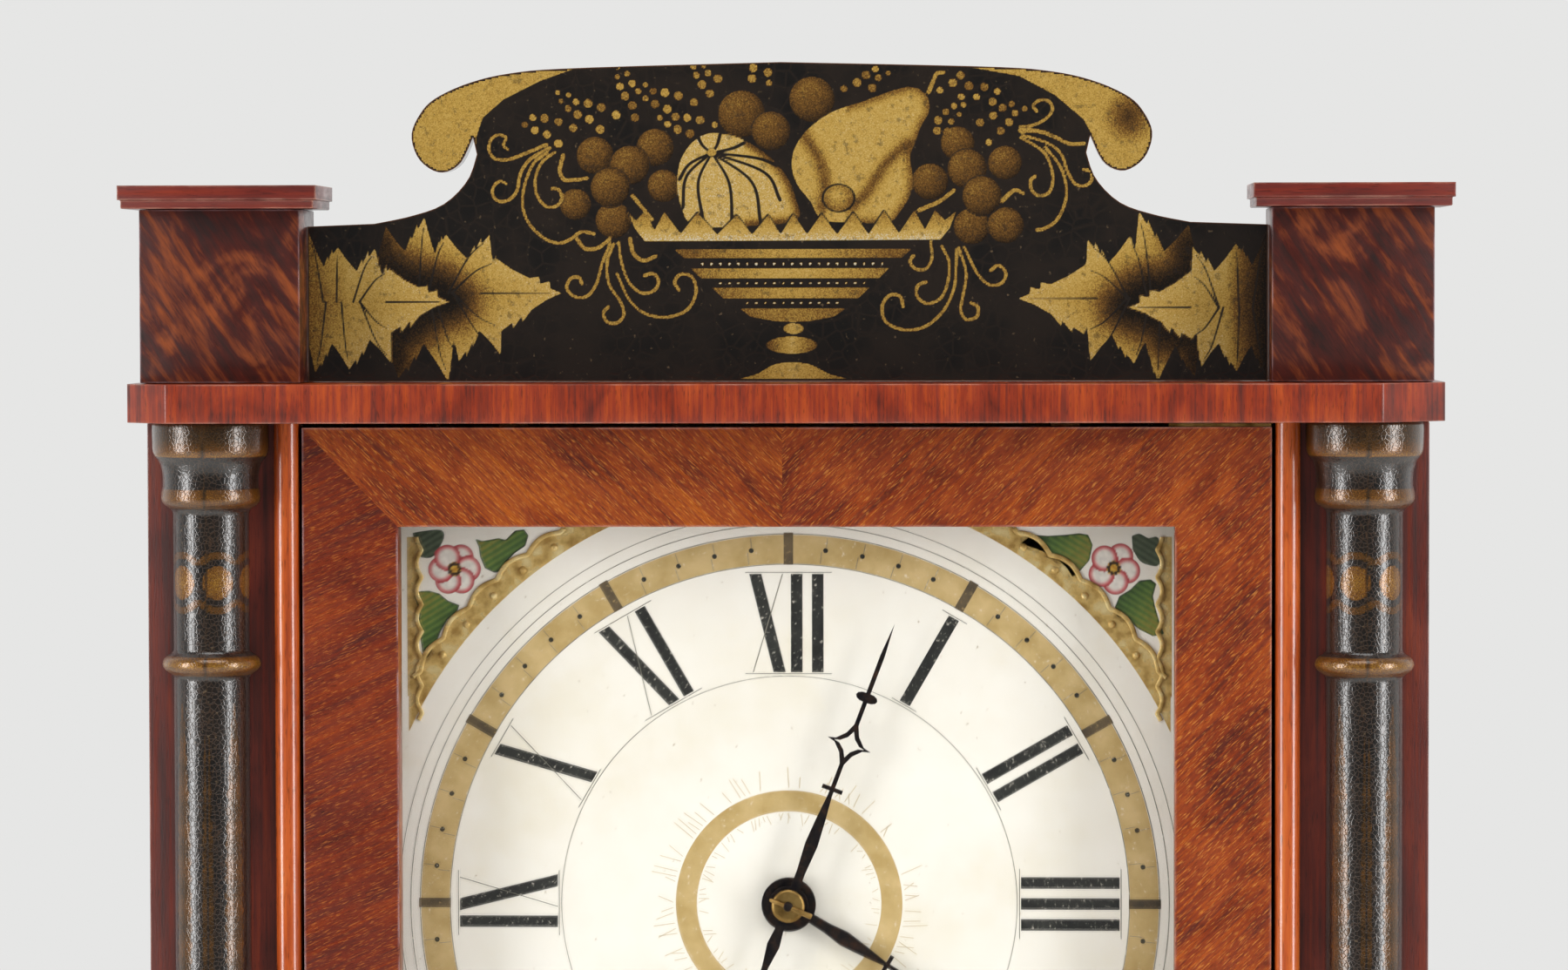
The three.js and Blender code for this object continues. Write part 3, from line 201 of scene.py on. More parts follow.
def wood(name, dark, middle, light, streak, figure, pores, slant=0.0, worn="#c9a08c", wear=0.55,
         roughness=0.36, coat=0.35, swirl=0.8, fleck=None):
    """Wood by three patterns: long streaks, a broader cloudy figure and short dark pores, whose
    sizes along x, y and z are in millimetres. Shows the polish of the real board, duller in the
    pores, and pale on its arrises: rubbed there, and also a painted highlight of the rounded edge."""
    made, tree, shader, place = material(name)
    streak_at, figure_at, pores_at = (
        add(tree, "Mapping", {"Vector": place, "Rotation": (0, slant, 0),
                              "Scale": [side / 1000 for side in size]},
            vector_type="TEXTURE") for size in (streak, figure, pores))
    lines = add(tree, "TexNoise", {"Scale": 1.0, "Detail": 5.0, "Roughness": 0.62,
                                   "Distortion": 0.3, "Vector": streak_at})
    clouds = add(tree, "TexNoise",
                 {"Scale": 1.0, "Detail": 3.0, "Distortion": swirl, "Vector": figure_at})
    dots = add(tree, "TexNoise", {"Scale": 1.0, "Detail": 2.0, "Vector": pores_at})
    blend = add(tree, "Math", {1: 0.55, 0: lines}, operation="MULTIPLY")
    blend = add(tree, "Math", {1: 0.45, 0: clouds, 2: blend}, operation="MULTIPLY_ADD")
    colour = add(tree, "ValToRGB", {"Fac": blend}, [(0.36, dark), (0.5, middle), (0.64, light)])
    pore = add(tree, "ValToRGB", {"Fac": dots}, [(0.30, 0.45), (0.42, 1.0)])
    colour = add(tree, "Mix", {0: 0.8, 6: colour, 7: pore}, data_type="RGBA",
                 blend_type="MULTIPLY").outputs[2]
    if fleck:
        glint = add(tree, "ValToRGB", {"Fac": dots}, [(0.56, 0.0), (0.68, 0.55)])
        colour = add(tree, "Mix", {0: glint, 6: colour, 7: fleck}, data_type="RGBA").outputs[2]
    rubbed = add(tree, "TexNoise", {"Scale": 90.0, "Detail": 4.0, "Vector": place})
    patchy = add(tree, "ValToRGB", {"Fac": rubbed}, [(0.40, 0.15), (0.60, 1.0)])
    # Pale arris colour: worn finish, and also a painted highlight along each rounded edge.
    edge = add(tree, "Math", {0: arris(tree, 0.0011), 1: patchy}, operation="MULTIPLY")
    edge = add(tree, "Math", {1: wear, 0: edge}, operation="MULTIPLY")
    colour = add(tree, "Mix", {0: edge, 6: colour, 7: worn}, data_type="RGBA").outputs[2]
    gloss = add(tree, "MapRange", {"From Min": 0.3, "From Max": 0.7, "To Min": roughness + 0.12,
                                   "To Max": roughness - 0.08, "Value": lines})
    relief = add(tree, "Bump", {"Strength": 0.5, "Distance": 0.00008, "Height": dots})
    fill(shader, {"Base Color": colour, "Roughness": gloss, "Coat Weight": coat,
                  "Coat Roughness": 0.16, "Normal": relief})
    return made


def finish(nodes, surface, arris_width=0.0):
    """Gives solids one surface. Round walls are shaded smooth, and boards get a small arris."""
    for name in nodes:
        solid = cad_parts[name]
        solid.data.materials.clear()
        solid.data.materials.append(surface)
        solid.data.polygons.foreach_set("use_smooth", [True] * len(solid.data.polygons))
        if "custom_normal" in solid.data.attributes:
            solid.data.attributes.remove(solid.data.attributes["custom_normal"])
        solid.modifiers.new("weld", "WELD").merge_threshold = 0.000001
        if arris_width:
            rounding = solid.modifiers.new("arris", "BEVEL")
            rounding.width, rounding.segments = arris_width, 2
            rounding.limit_method, rounding.angle_limit = "ANGLE", math.radians(40)
        split = solid.modifiers.new("sharp", "EDGE_SPLIT")
        split.split_angle = math.radians(38)


# Straight-grained veneer laid upright across the boards' edges: bright red-brown upright streaks.
finish(["cornice_board", "base_board"], wood(
    "mahogany veneer, cross grain", "#4a1105", "#85290a", "#a84515",
    (1.6, 30, 45), (14, 30, 26), (0.5, 3, 3.5), wear=0.8), 0.0005)
# Long plain veneer, painted darker than the cornice's as shade behind the columns and on the
# sides.
finish(["left_stile", "right_stile", "left_side_board", "right_side_board"], wood(
    "mahogany veneer, long grain", "#330d07", "#5c1c0e", "#7b3018",
    (2.2, 2.2, 90), (16, 16, 60), (0.5, 0.5, 5)), 0.0005)
# Crotch veneer: near black with brown flames that lean over.
finish(["left_chimney", "right_chimney"], wood(
    "figured mahogany veneer", "#240a07", "#46160e", "#84401c",
    (3, 8, 22), (26, 30, 34), (0.5, 0.5, 4), slant=-0.6, worn="#c3a5ab", wear=0.8, swirl=2.2),
    0.0004)
# Solid mahogany mouldings: even deep red, rubbed pale on their edges.
finish(["left_chimney_cap", "right_chimney_cap"], wood(
    "dark red mahogany", "#430f09", "#651d13", "#7b2b1a",
    (45, 12, 2.2), (50, 20, 12), (5, 3, 0.5), worn="#cfa08a", wear=0.8), 0.0004)
# Half-round beads under a thick clear varnish: orange, with one bright line along each.
finish(["left_bead", "right_bead"], wood(
    "orange bead wood", "#8a330d", "#b4501c", "#cc6c30",
    (2, 8, 90), (6, 8, 60), (0.5, 3, 5), roughness=0.24, coat=0.8, wear=0.0))
# Sawn pine, left bare: matt and yellow-brown, with long soft streaks.
finish(["back_board"], wood(
    "pine", "#8c6439", "#b48a57", "#cfa973",
    (4, 20, 160), (18, 20, 120), (0.6, 3, 6), worn="#cdb48c", wear=0.3, roughness=0.6,
    coat=0.0), 0.0005)
finish(["left_upright", "right_upright"], wood(
    "pine uprights", "#7d5934", "#a67d4c", "#c29a66",
    (4, 20, 160), (18, 20, 120), (0.6, 3, 6), worn="#cdb48c", wear=0.3, roughness=0.6,
    coat=0.0), 0.0005)


# Door: a pine frame veneered across its joints, with clear glass over the dial and a looking glass
# below, two brass pivot straps let into its right edge and a turned brass knob.
finish(["door_left_stile", "door_right_stile", "door_middle_rail", "door_bottom_rail",
        "door_top_rail"], wood(
    "door mahogany veneer", "#571a05", "#86350b", "#a65214",
    (1.8, 30, 70), (12, 30, 34), (0.5, 3, 5), slant=0.0, worn="#c78f68", wear=0.6), 0.0005)


def brass(name, bright, dull, roughness):
    """Old brass: warm metal with duller brown patches and fine scratches in its polish."""
    made, tree, shader, place = material(name, roughness, 1.0)
    patch = add(tree, "TexNoise", {"Scale": 160.0, "Detail": 5.0, "Vector": place})
    brushed = add(tree, "Mapping", {"Vector": place, "Scale": (0.0003, 0.0003, 0.006)},
                  vector_type="TEXTURE")
    scratch = add(tree, "TexNoise", {"Scale": 1.0, "Detail": 3.0, "Vector": brushed})
    rough = add(tree, "MapRange",
                {"To Min": roughness - 0.1, "To Max": roughness + 0.15, "Value": scratch})
    fill(shader, {"Base Color": add(tree, "ValToRGB", {"Fac": patch},
                                    [(0.35, dull), (0.62, bright)]), "Roughness": rough})
    return made


old_brass = brass("old brass", "#b9975a", "#6d5126", 0.34)
finish(["upper_hinge", "lower_hinge", "door_knob"], old_brass)


def glass(name, tint, clearness, waves):
    """Old cylinder glass: clear, faintly tinted, and slightly wavy so that reflections bend."""
    made, tree, shader, place = material(name, 0.02)
    wave = add(tree, "TexNoise", {"Scale": 14.0, "Detail": 1.0, "Vector": place})
    bend = add(tree, "Bump", {"Strength": 0.25, "Distance": waves, "Height": wave})
    dust = add(tree, "TexNoise", {"Scale": 700.0, "Detail": 2.0, "Vector": place})
    haze = add(tree, "ValToRGB", {"Fac": dust}, [(0.62, 0.02), (0.75, 0.12)])
    fill(shader, {"Normal": bend, "Roughness": haze, "Base Color": tint,
                  "Transmission Weight": 1.0, "IOR": 1.46, "Alpha": clearness})
    return made


finish(["dial_glass"], glass("clear window glass", "#f4f8f5", 0.12, 0.0006))
# Old silvered glass: a clear mirror gone grey and dull in spots where the silvering is lost.
mirror, tree, shader, place = material("silvered looking glass", 0.04, 1.0)
loss = add(tree, "TexNoise", {"Scale": 34.0, "Detail": 6.0, "Roughness": 0.65, "Vector": place})
fill(shader, {"Base Color": add(tree, "ValToRGB", {"Fac": loss},
                                [(0.30, "#5c5850"), (0.38, "#c9ccca"), (0.7, "#dadddb")]),
              "Roughness": add(tree, "ValToRGB", {"Fac": loss}, [(0.30, 0.4), (0.40, 0.035)])})
finish(["lower_glass"], mirror)


# Movement: oak plates and uprights of pine carry cherry wheels, drums and pulleys, a brass escape
# wheel, steel hands, verge, pendulum rod and hammer, a cast bell and iron weights on cotton cords.
# Cherry shows a close reddish grain, and oak long pores.
cherry = wood("cherry", "#5e2c14", "#8a4a26", "#a5643a", (2.5, 12, 60), (14, 14, 40), (0.4, 2, 4),
              worn="#b98460", wear=0.3, roughness=0.5, coat=0.1)
oak = wood("oak", "#6f4e2a", "#96713f", "#b08d58", (3, 12, 70), (10, 12, 30), (0.7, 2, 6),
           worn="#bfa272", wear=0.3, roughness=0.55, coat=0.0)
# Forged steel, blued and browned with age: nearly black, with brown duller patches.
steel, tree, shader, place = material("blued steel browned with age", 0.42, 0.85)
rust = add(tree, "TexNoise", {"Scale": 260.0, "Detail": 6.0, "Roughness": 0.7, "Vector": place})
fill(shader, {"Base Color": add(tree, "ValToRGB", {"Fac": rust},
                                [(0.34, "#1d1b22"), (0.52, "#2e2826"), (0.72, "#54382a")]),
              "Roughness": add(tree, "ValToRGB", {"Fac": rust}, [(0.35, 0.3), (0.7, 0.62)])})
# Sand-cast iron: dark grey and matt, pitted by the sand, with a little rust.
iron, tree, shader, place = material("rough cast iron", 0.75, 0.6)
grit = add(tree, "TexNoise", {"Scale": 520.0, "Detail": 5.0, "Vector": place})
bumps = add(tree, "Bump", {"Strength": 0.7, "Distance": 0.0003, "Height": grit})
fill(shader, {"Base Color": add(tree, "ValToRGB", {"Fac": grit},
                                [(0.3, "#22201e"), (0.6, "#3b3733"), (0.75, "#5a4334")]),
              "Normal": bumps})
finish(["front_plate", "back_plate"], oak)
finish(["time_great_wheel", "time_drum", "centre_wheel", "third_wheel", "strike_great_wheel",
        "strike_drum", "pin_wheel", "warning_wheel", "fly", "count_wheel", "hour_wheel",
        "motion_wheel"], cherry)
finish(["escape_wheel", "minute_cannon", "pendulum_bob"], old_brass)
finish(["minute_hand", "hour_hand", "verge", "pendulum_rod", "hammer"], steel)
finish(["time_weight", "strike_weight"], iron, 0.0012)
finish(["time_pulley", "strike_pulley"], cherry)
finish(["bell"], brass("cast bell metal", "#9a8a66", "#5b4c33", 0.4))
# Twisted cotton cord, waxed: dull and tan, with strands about 3 mm apart that run round it, its
# colour painted darker in the grooves between the strands as shade.
cotton, tree, shader, place = material("waxed cotton cord", 0.85)
strand = add(tree, "Mapping", {"Vector": place, "Scale": (0.003, 0.003, 0.003)},
             vector_type="TEXTURE")
twist = add(tree, "TexWave", {"Scale": 1.0, "Distortion": 1.5, "Detail": 2.0, "Vector": strand},
            wave_type="BANDS", bands_direction="DIAGONAL")
strands = add(tree, "Bump", {"Strength": 0.8, "Distance": 0.0003, "Height": twist.outputs["Fac"]})
# Darker tan where the twist is low: painted shade in the grooves between strands.
fill(shader, {"Base Color": add(tree, "ValToRGB", {"Fac": twist.outputs["Fac"]},
                                [(0.2, "#7d6c50"), (0.7, "#c3b08a")]), "Normal": strands})
finish(["time_cord_run", "strike_cord_run"], cotton)
# Each cord's drop is made anew as a round tube of the part's length, hung on the case. The travel
# is in metres.
weight_travel, drop_rows, drop_sides = 0.487, 60, 12
for name, joint in (("time_cord_drop", "time_weight_rise"),
                    ("strike_cord_drop", "strike_weight_rise")):
    low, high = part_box(name)
    middle, radius = (low + high) / 2, (high.x - low.x) / 2
    turn_by = np.linspace(0, 2 * math.pi, drop_sides, endpoint=False)
    level = np.linspace(low.z, high.z, drop_rows)
    points = np.stack([np.tile(middle.x + radius * np.cos(turn_by), (drop_rows, 1)),
                       np.tile(middle.y + radius * np.sin(turn_by), (drop_rows, 1)),
                       np.repeat(level[:, None], drop_sides, 1)], -1)
    drop = grid_mesh(name + "_twisted", points, close_u=True, caps=True)
    drop.data.materials.append(cotton)
    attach(drop, "case")
    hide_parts(name)
    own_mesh(drop)


# Splat: a board cut to a scrolled outline, japanned black and worn brown along its top edge.
def lacquer(name, under, crackle, wear, sunk=0.00006, relief=0.35):
    """Black japanning: a deep gloss over brown wood, crackled into cells of about crackle
    millimetres, with dust in the cracks, which are sunk by some metres."""
    made, tree, shader, place = material(name, 0.3)
    cells = add(tree, "TexVoronoi", {"Scale": 1000 / crackle, "Randomness": 1.0, "Vector": place},
                feature="DISTANCE_TO_EDGE")
    crack = add(tree, "ValToRGB", {"Fac": cells}, [(0.0, 0.0), (0.10, 1.0)])
    smoke = add(tree, "TexNoise", {"Scale": 60.0, "Detail": 5.0, "Vector": place})
    body = add(tree, "ValToRGB", {"Fac": smoke}, [(0.35, "#0d0a08"), (0.62, "#1e1610")])
    colour = add(tree, "Mix", {0: crack, 6: under, 7: body}, data_type="RGBA").outputs[2]
    speck = add(tree, "TexNoise", {"Scale": 620.0, "Detail": 2.0, "Vector": place})
    dust = add(tree, "ValToRGB", {"Fac": speck}, [(0.68, 0.0), (0.76, 0.5)])
    colour = add(tree, "Mix", {0: dust, 6: colour, 7: "#6d5a41"}, data_type="RGBA").outputs[2]
    edge = add(tree, "Math", {1: wear, 0: arris(tree, 0.0009)}, operation="MULTIPLY")
    bumps = add(tree, "Bump", {"Strength": relief, "Distance": sunk, "Height": crack})
    fill(shader, {"Base Color": add(tree, "Mix", {0: edge, 6: colour, 7: "#7c4a2a"},
                                    data_type="RGBA").outputs[2], "Coat Weight": 0.9,
                  "Coat Roughness": 0.09, "Normal": bumps, "Coat Normal": bumps})
    return made


splat_black = lacquer("black japanned splat", "#1d150f", 5.0, 0.7)
column_black = lacquer("black crackled column lacquer", "#33241a", 1.6, 0.0)
finish(["splat"], splat_black)
finish(["left_half_column", "right_half_column"], column_black)


# Stencilling on the splat: bronze powder pressed through cut stencils onto tacky varnish, thinned
# to black where it was shaded. A bowl of fruit, grapes and tendrils stands in the middle, toothed
# leaves at both ends, and the scrolled ends are gilt. It lies just in front of the splat's face.
def smooth(points, count=8):
    """A Catmull-Rom curve through points, with count steps between each two."""
    p = np.asarray(points, float)
    p = np.concatenate([2 * p[:1] - p[1:2], p, 2 * p[-1:] - p[-2:-1]])
    t = np.linspace(0, 1, count, endpoint=False)[:, None, None]
    a, b, c, d = p[:-3], p[1:-2], p[2:-1], p[3:]
    curve = 0.5 * (2 * b + (c - a) * t + (2 * a - 5 * b + 4 * c - d) * t ** 2
                   + (3 * b - a - 3 * c + d) * t ** 3)
    return np.concatenate([curve.transpose(1, 0, 2).reshape(-1, p.shape[1]), p[-2:-1]])


def depth(x, z, outline):
    """How deep each point lies inside a closed outline: its distance to the nearest side, and
    less than 0 outside."""
    start = np.asarray(outline, float)
    nearest, inside = np.full(x.shape, 1e9), np.zeros(x.shape, bool)
    for (ax, az), (bx, bz) in zip(start, np.roll(start, -1, axis=0)):
        dx, dz = bx - ax, bz - az
        t = np.clip(((x - ax) * dx + (z - az) * dz) / (dx * dx + dz * dz + 1e-12), 0, 1)
        nearest = np.minimum(nearest, np.hypot(x - ax - t * dx, z - az - t * dz))
        inside ^= ((az > z) != (bz > z)) & (x < ax + (z - az) * dx / (dz or 1e-12))
    return np.where(inside, nearest, -nearest)


def stroke(x, z, path, wide, narrow):
    """Depth inside a brush stroke along a path, whose half width goes from wide to narrow."""
    path = np.asarray(path, float)
    best = np.full(x.shape, -1e9)
    radii = np.linspace(wide, narrow, len(path))
    for (ax, az), (bx, bz), ra, rb in zip(path[:-1], path[1:], radii[:-1], radii[1:]):
        dx, dz = bx - ax, bz - az
        t = np.clip(((x - ax) * dx + (z - az) * dz) / (dx * dx + dz * dz + 1e-12), 0, 1)
        best = np.maximum(best, ra + (rb - ra) * t - np.hypot(x - ax - t * dx, z - az - t * dz))
    return best


def disc(x, z, cx, cz, rx, rz=None):
    """Depth inside a circle or an oval."""
    rz = rz or rx
    return (1 - np.hypot((x - cx) / rx, (z - cz) / rz)) * min(rx, rz)


class Stencil:
    """A design on points x, z in millimetres: how deep each lies in the bronze, and how thick
    the powder is there, from 0 bare to 1 bright."""

    def __init__(self, x, z):
        self.x, self.z = x, z
        self.edge, self.bronze = np.full(x.shape, -9.0), np.zeros(x.shape)

    def press(self, shape, powder, gap=0.45):
        """Presses one shape, leaving a bare line of the gap's width round it."""
        self.edge = np.maximum(np.minimum(self.edge, -(shape + gap)), shape)
        self.bronze = np.where(shape > -gap * 0.5, powder, self.bronze)


def toothed(base, tips, tip, lower):
    """A leaf outline from its base over the upper lobe tips to the tip and back along the lower
    ones, with a notch between lobes and a small tooth on each side of a lobe."""
    spine = np.array(base, float), np.array(tip, float)
    ring = [np.array(p, float) for p in list(tips)[::-1] + [tip] + list(lower)]
    outline = [spine[0]]
    for first, second in zip(ring[:-1], ring[1:]):
        middle = (first + second) / 2
        along = spine[1] - spine[0]
        foot = spine[0] + along * np.clip(np.dot(middle - spine[0], along)
                                          / np.dot(along, along), 0, 1)
        beside_tip = second is ring[len(tips)] or first is ring[len(tips)]
        notch = middle + (foot - middle) * (0.12 if beside_tip else 0.42)
        out = (middle - foot) / (np.linalg.norm(middle - foot) + 1e-9)
        outline += [first, first + (notch - first) * 0.5 - out * 0.5, notch]
        for part in (0.26, 0.58):
            point = notch + (second - notch) * part
            outline += [point + out * 2.0 + (second - notch) * 0.05,
                        point + (second - notch) * 0.07 - out * 0.2]
    return outline + [ring[-1]]


def sheet(name, points, whole, values, turned_over=False):
    """An open mesh of the whole quads of a grid of points in millimetres, with an attribute for
    each kind of value: a number or a colour at each point."""
    index = np.arange(points[..., 0].size).reshape(points.shape[:2])
    quads = np.stack([index[:-1, :-1], index[:-1, 1:], index[1:, 1:], index[1:, :-1]], -1)[whole]
    if turned_over:
        quads = quads[:, ::-1]
    used, quads = np.unique(quads, return_inverse=True)
    mesh = bpy.data.meshes.new(name)
    mesh.from_pydata(points.reshape(-1, 3)[used] / 1000, [], quads.reshape(-1, 4).tolist())
    for key, value in values.items():
        value = value.reshape(index.size, -1)[used].reshape(-1).astype(np.float32)
        kind, field = ("FLOAT", "value") if len(value) == len(used) else ("FLOAT_COLOR", "color")
        mesh.attributes.new(key, kind, "POINT").data.foreach_set(field, value)
    mesh.update()
    made = bpy.data.objects.new(name, mesh)
    bpy.context.collection.objects.link(made)
    return made


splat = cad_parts["splat"].data
spots = np.empty(len(splat.vertices) * 3)
splat.vertices.foreach_get("co", spots)
spots = np.round(spots.reshape(-1, 3) * 1000, 3)
low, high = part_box("splat")
splat_front, splat_foot = low[1] * 1000, low[2] * 1000
sides = {}
for face in splat.polygons:
    ring = [tuple(spots[k]) for k in face.vertices]
    if all(abs(p[1] - splat_front) < 0.01 for p in ring):
        for first, second in zip(ring, ring[1:] + ring[:1]):
            key = tuple(sorted((first, second)))
            sides[key] = sides.get(key, 0) + 1
rim_sides = [key for key, count in sides.items() if count == 1]
step = 0.55
grid_x, grid_z = np.meshgrid(np.arange(-159.9, 160.0, step), np.arange(0.3, 106.6, step))
inside, nearest = np.zeros(grid_x.shape, bool), np.full(grid_x.shape, 1e9)
for (ax, _, az), (bx, _, bz) in rim_sides:
    az, bz = az - splat_foot, bz - splat_foot
    dx, dz = bx - ax, bz - az
    t = np.clip(((grid_x - ax) * dx + (grid_z - az) * dz) / (dx * dx + dz * dz + 1e-12), 0, 1)
    nearest = np.minimum(nearest, np.hypot(grid_x - ax - t * dx, grid_z - az - t * dz))
    inside ^= ((az > grid_z) != (bz > grid_z)) & (
        grid_x < ax + (grid_z - az) * dx / (dz or 1e-12))
design = Stencil(grid_x, grid_z)
x, z = grid_x, grid_z
for inner in ([(-64, 108), (-70.4, 104.6), (-82.4, 100.3), (-94.4, 94.3), (-101.4, 88.2),
               (-103.5, 81.8), (-103.6, 74), (-106, 69), (-140, 66), (-140, 112)],
              [(56, 108), (61.8, 104.4), (77.7, 101.5), (89.6, 95.1), (99.1, 87), (102, 81.7),
               (102.4, 74), (104.5, 69), (140, 66), (140, 112)]):
    worn = np.clip(np.hypot((x - 114) / 9, (z - 88) / 10), 0, 1)
    design.press(depth(x, z, inner), 0.74 * (0.35 + 0.65 * worn))
leaves = [((-140, 30), [(-96.7, 41), (-99.3, 49.1), (-113.9, 49.3), (-121.1, 55), (-134, 52)],
           (-75.2, 29.6), [(-95.2, 17.1), (-95.7, 8.8), (-109.7, 6.7), (-113.3, -0.1),
                           (-130, 1)], True),
          ((-163, 26), [(-133.1, 37.8), (-137.7, 44.6), (-150.2, 45.1), (-160, 50)],
           (-113.2, 26.7), [(-132.5, 16.5), (-132.5, 6.2), (-146.6, 4.1), (-158, 3)], False),
          ((140, 28), [(99.3, 38.4), (100.4, 47.2), (114.4, 48.2), (117.5, 56.5), (134, 52)],
           (77.3, 27.5), [(99.3, 15.5), (101.4, 6.7), (115.9, 5.6), (123.7, -0.4), (136, 1)],
           True),
          ((163, 25), [(134.6, 36.3), (135.2, 44.6), (149.7, 45.6), (160, 50)],
           (114.2, 24.4), [(135.2, 13.9), (138.3, 4.6), (150, 3), (160, 2)], False)]
outlines = [toothed(base, upper, tip, lower) for base, upper, tip, lower, _ in leaves]
for place_in_row, (base, upper, tip, lower, shaded) in enumerate(leaves):
    shape = depth(x, z, outlines[place_in_row])
    powder = np.clip(0.84 - 0.010 * np.clip(shape, 0, 20)
                     - (0.3 if tip[0] < 0 else 0.8) * np.clip((np.abs(x) - 146) / 14, 0, 1),
                     0.05, 1)
    if shaded:
        off = -depth(x, z, outlines[place_in_row + 1])
        powder = powder - 0.72 * np.exp(-(np.clip(off, 0, 60) / 10) ** 2)
    design.press(shape, np.clip(powder, 0.0, 1))
    side = 1 if tip[0] < 0 else -1
    for target in upper[:4] + lower[:4] + [tip]:
        reach = np.array(target, float)
        origin = np.array([tip[0] + (base[0] - tip[0]) * 0.42
                           + (reach[0] - tip[0]) * 0.45, tip[1]])
        bend = (origin + reach) / 2 + np.array([0, (reach[1] - tip[1]) * 0.12])
        vein = stroke(x, z, smooth([origin, bend, origin + (reach - origin) * 0.86], 5),
                      0.38, 0.22)
        design.edge = np.minimum(design.edge, -vein)
fruits = [(-43.7, 78.1, 6.2), (-63.8, 75.5, 6.2), (-40.9, 65.3, 5.4), (-52.2, 72.2, 6.5),
          (-70.4, 59.2, 5.2), (-57.7, 53.9, 6.0), (-58.8, 64.8, 6.5), (-14.8, 89.2, 7.8),
          (-5.0, 83.5, 6.4), (8.7, 94.0, 7.5), (57.2, 79.2, 5.6), (73.0, 72.7, 5.6),
          (48.0, 66.5, 6.0), (60.4, 70.7, 6.5), (61.9, 51.6, 6.0), (73.2, 51.9, 6.0),
          (65.3, 61.7, 6.5)]
for cx, cz, r in fruits:
    lean = ((x - cx) * -0.45 + (z - cz) * 0.62) / r
    design.press(disc(x, z, cx, cz, r), np.clip(0.43 + 0.20 * lean
                 - 0.18 * (np.hypot(x - cx, z - cz) / r) ** 4, 0.04, 1))
pear = smooth([(40.7, 98.1), (35, 96.6), (26.1, 93.4), (15.4, 89.7), (7.3, 84), (2.8, 77.4),
               (2, 70.9), (4, 65.2), (8.1, 60), (12, 54), (22, 53), (34, 53), (38.3, 57),
               (41.6, 62.8), (42, 69.3), (41.4, 75), (43.2, 79.9), (44.9, 84.8), (47.6, 89.7),
               (47.3, 94.4), (44.4, 97.4)])
shape = depth(x, z, pear)
hollow = 0
for path, width in (([(6, 82), (11, 74), (13, 66), (12, 58)], 2.4),
                    ([(22, 58), (27, 63), (33, 72), (40, 79)], 2.2)):
    hollow += np.exp(-(stroke(x, z, smooth(path), 0, 0) / width) ** 2)
design.press(shape, np.clip(0.80 - 0.34 * hollow - 0.30 * np.exp(-(shape / 2.0) ** 2)
                            * (x > 20), 0.1, 1))
design.press(disc(x, z, 17.5, 61.1, 4.9, 4.2),
             np.clip(0.82 - 0.3 * np.hypot(x - 17, z - 62) / 5, 0.1, 1), 0.7)
melon = smooth([(-36.4, 66), (-35.5, 73), (-32, 79), (-27, 82.4), (-21, 82.6), (-13, 80),
                (-5, 74.5), (0.4, 68), (3.2, 61), (3.7, 54), (-10, 52), (-30, 52), (-35, 58),
                (-36.4, 66)])
shape = depth(x, z, melon)
design.press(shape, np.clip(0.86 - 0.5 * np.exp(-(shape / 2.2) ** 2) * (x > -14), 0.1, 1))
for end, bow in (((-35.6, 67.5), -2), ((-34.5, 58), -3.5), ((-27.5, 52.5), -3.2),
                 ((-18, 52), 2.4), ((-8.5, 53), 5.2), ((-2, 60.5), 6.2), ((-3, 72), 4.0),
                 ((-14, 79.5), 1.2), ((-22, 82.4), 0.4), ((-29.5, 81.8), -0.6)):
    middle = (-24.8 + (end[0] + 24.8) * 0.5 + bow, 76.3 + (end[1] - 76.3) * 0.42)
    design.edge = np.minimum(design.edge, -stroke(x, z, smooth([(-24.8, 76.3), middle, end]),
                                                  0.42, 0.62))
design.press(disc(x, z, -24.8, 76.4, 1.5, 1.2), 0.7, 0.3)
rim = [(-47.2, 46.8), (-50.5, 51), (-52.9, 57), (-50.2, 53.6), (-47.2, 57), (-44, 50.5),
       (-40.7, 56.6), (-35.2, 49.3), (-29.7, 56.2), (-23, 49), (-16.6, 55.4), (-11.3, 49),
       (-6, 55.4), (-1.8, 49), (2.4, 55.8), (7, 49), (11.8, 55.8), (17, 49), (22.4, 56.2),
       (27.5, 49), (32.6, 56.6), (37.7, 49.3), (42.8, 57), (46.3, 50.5), (49.7, 57),
       (53, 53.6), (56.7, 56.6), (54.5, 51), (51.4, 47.2)]
design.press(depth(x, z, rim), np.clip(0.98 - 0.045 * np.abs(z - 46.6), 0.4, 1), 0.6)
bands = [([(-37.5, 44.1), (41.8, 44.1), (38.6, 41.2), (-34.2, 41.2)], 0.72),
         ([(-31.9, 37.7), (34.4, 37.7), (31, 34.4), (-28.6, 34.4)], 0.78),
         ([(-24.9, 31.3), (27.9, 31.3), (24, 27.7), (-21, 27.7)], 0.7),
         ([(-15.6, 24.3), (19.8, 24.3), (16, 21.6), (8, 20.1), (2, 19.7), (-4, 20.1),
           (-12, 21.6)], 0.6)]
for outline, powder in bands:
    level = np.clip((np.abs(x - 2) - 6) / 30, 0, 1)
    design.press(depth(x, z, outline), powder - 0.25 * level)
for row, half in ((39.2, 30), (32.8, 24), (26.1, 15)):
    for cx in np.arange(-half, half + 0.1, 3.0):
        design.press(disc(x, z, 2 + cx, row, 0.5), 1.25, 0.0)
for cx, cz, rx, rz in ((2.4, 17.6, 3.3, 1.8), (1.8, 12.1, 8.4, 2.9)):
    design.press(disc(x, z, cx, cz, rx, rz), 0.82 - 0.05 * np.abs(x - cx))
design.press(depth(x, z, smooth([(-15.4, -0.6), (-15.2, 0.9), (-10, 2.4), (-4, 5.6), (2, 6.3),
             (8, 5.6), (14.5, 2.4), (19.9, 0.9), (20.1, -0.6)])), 0.8 - 0.012 * np.abs(x - 2))
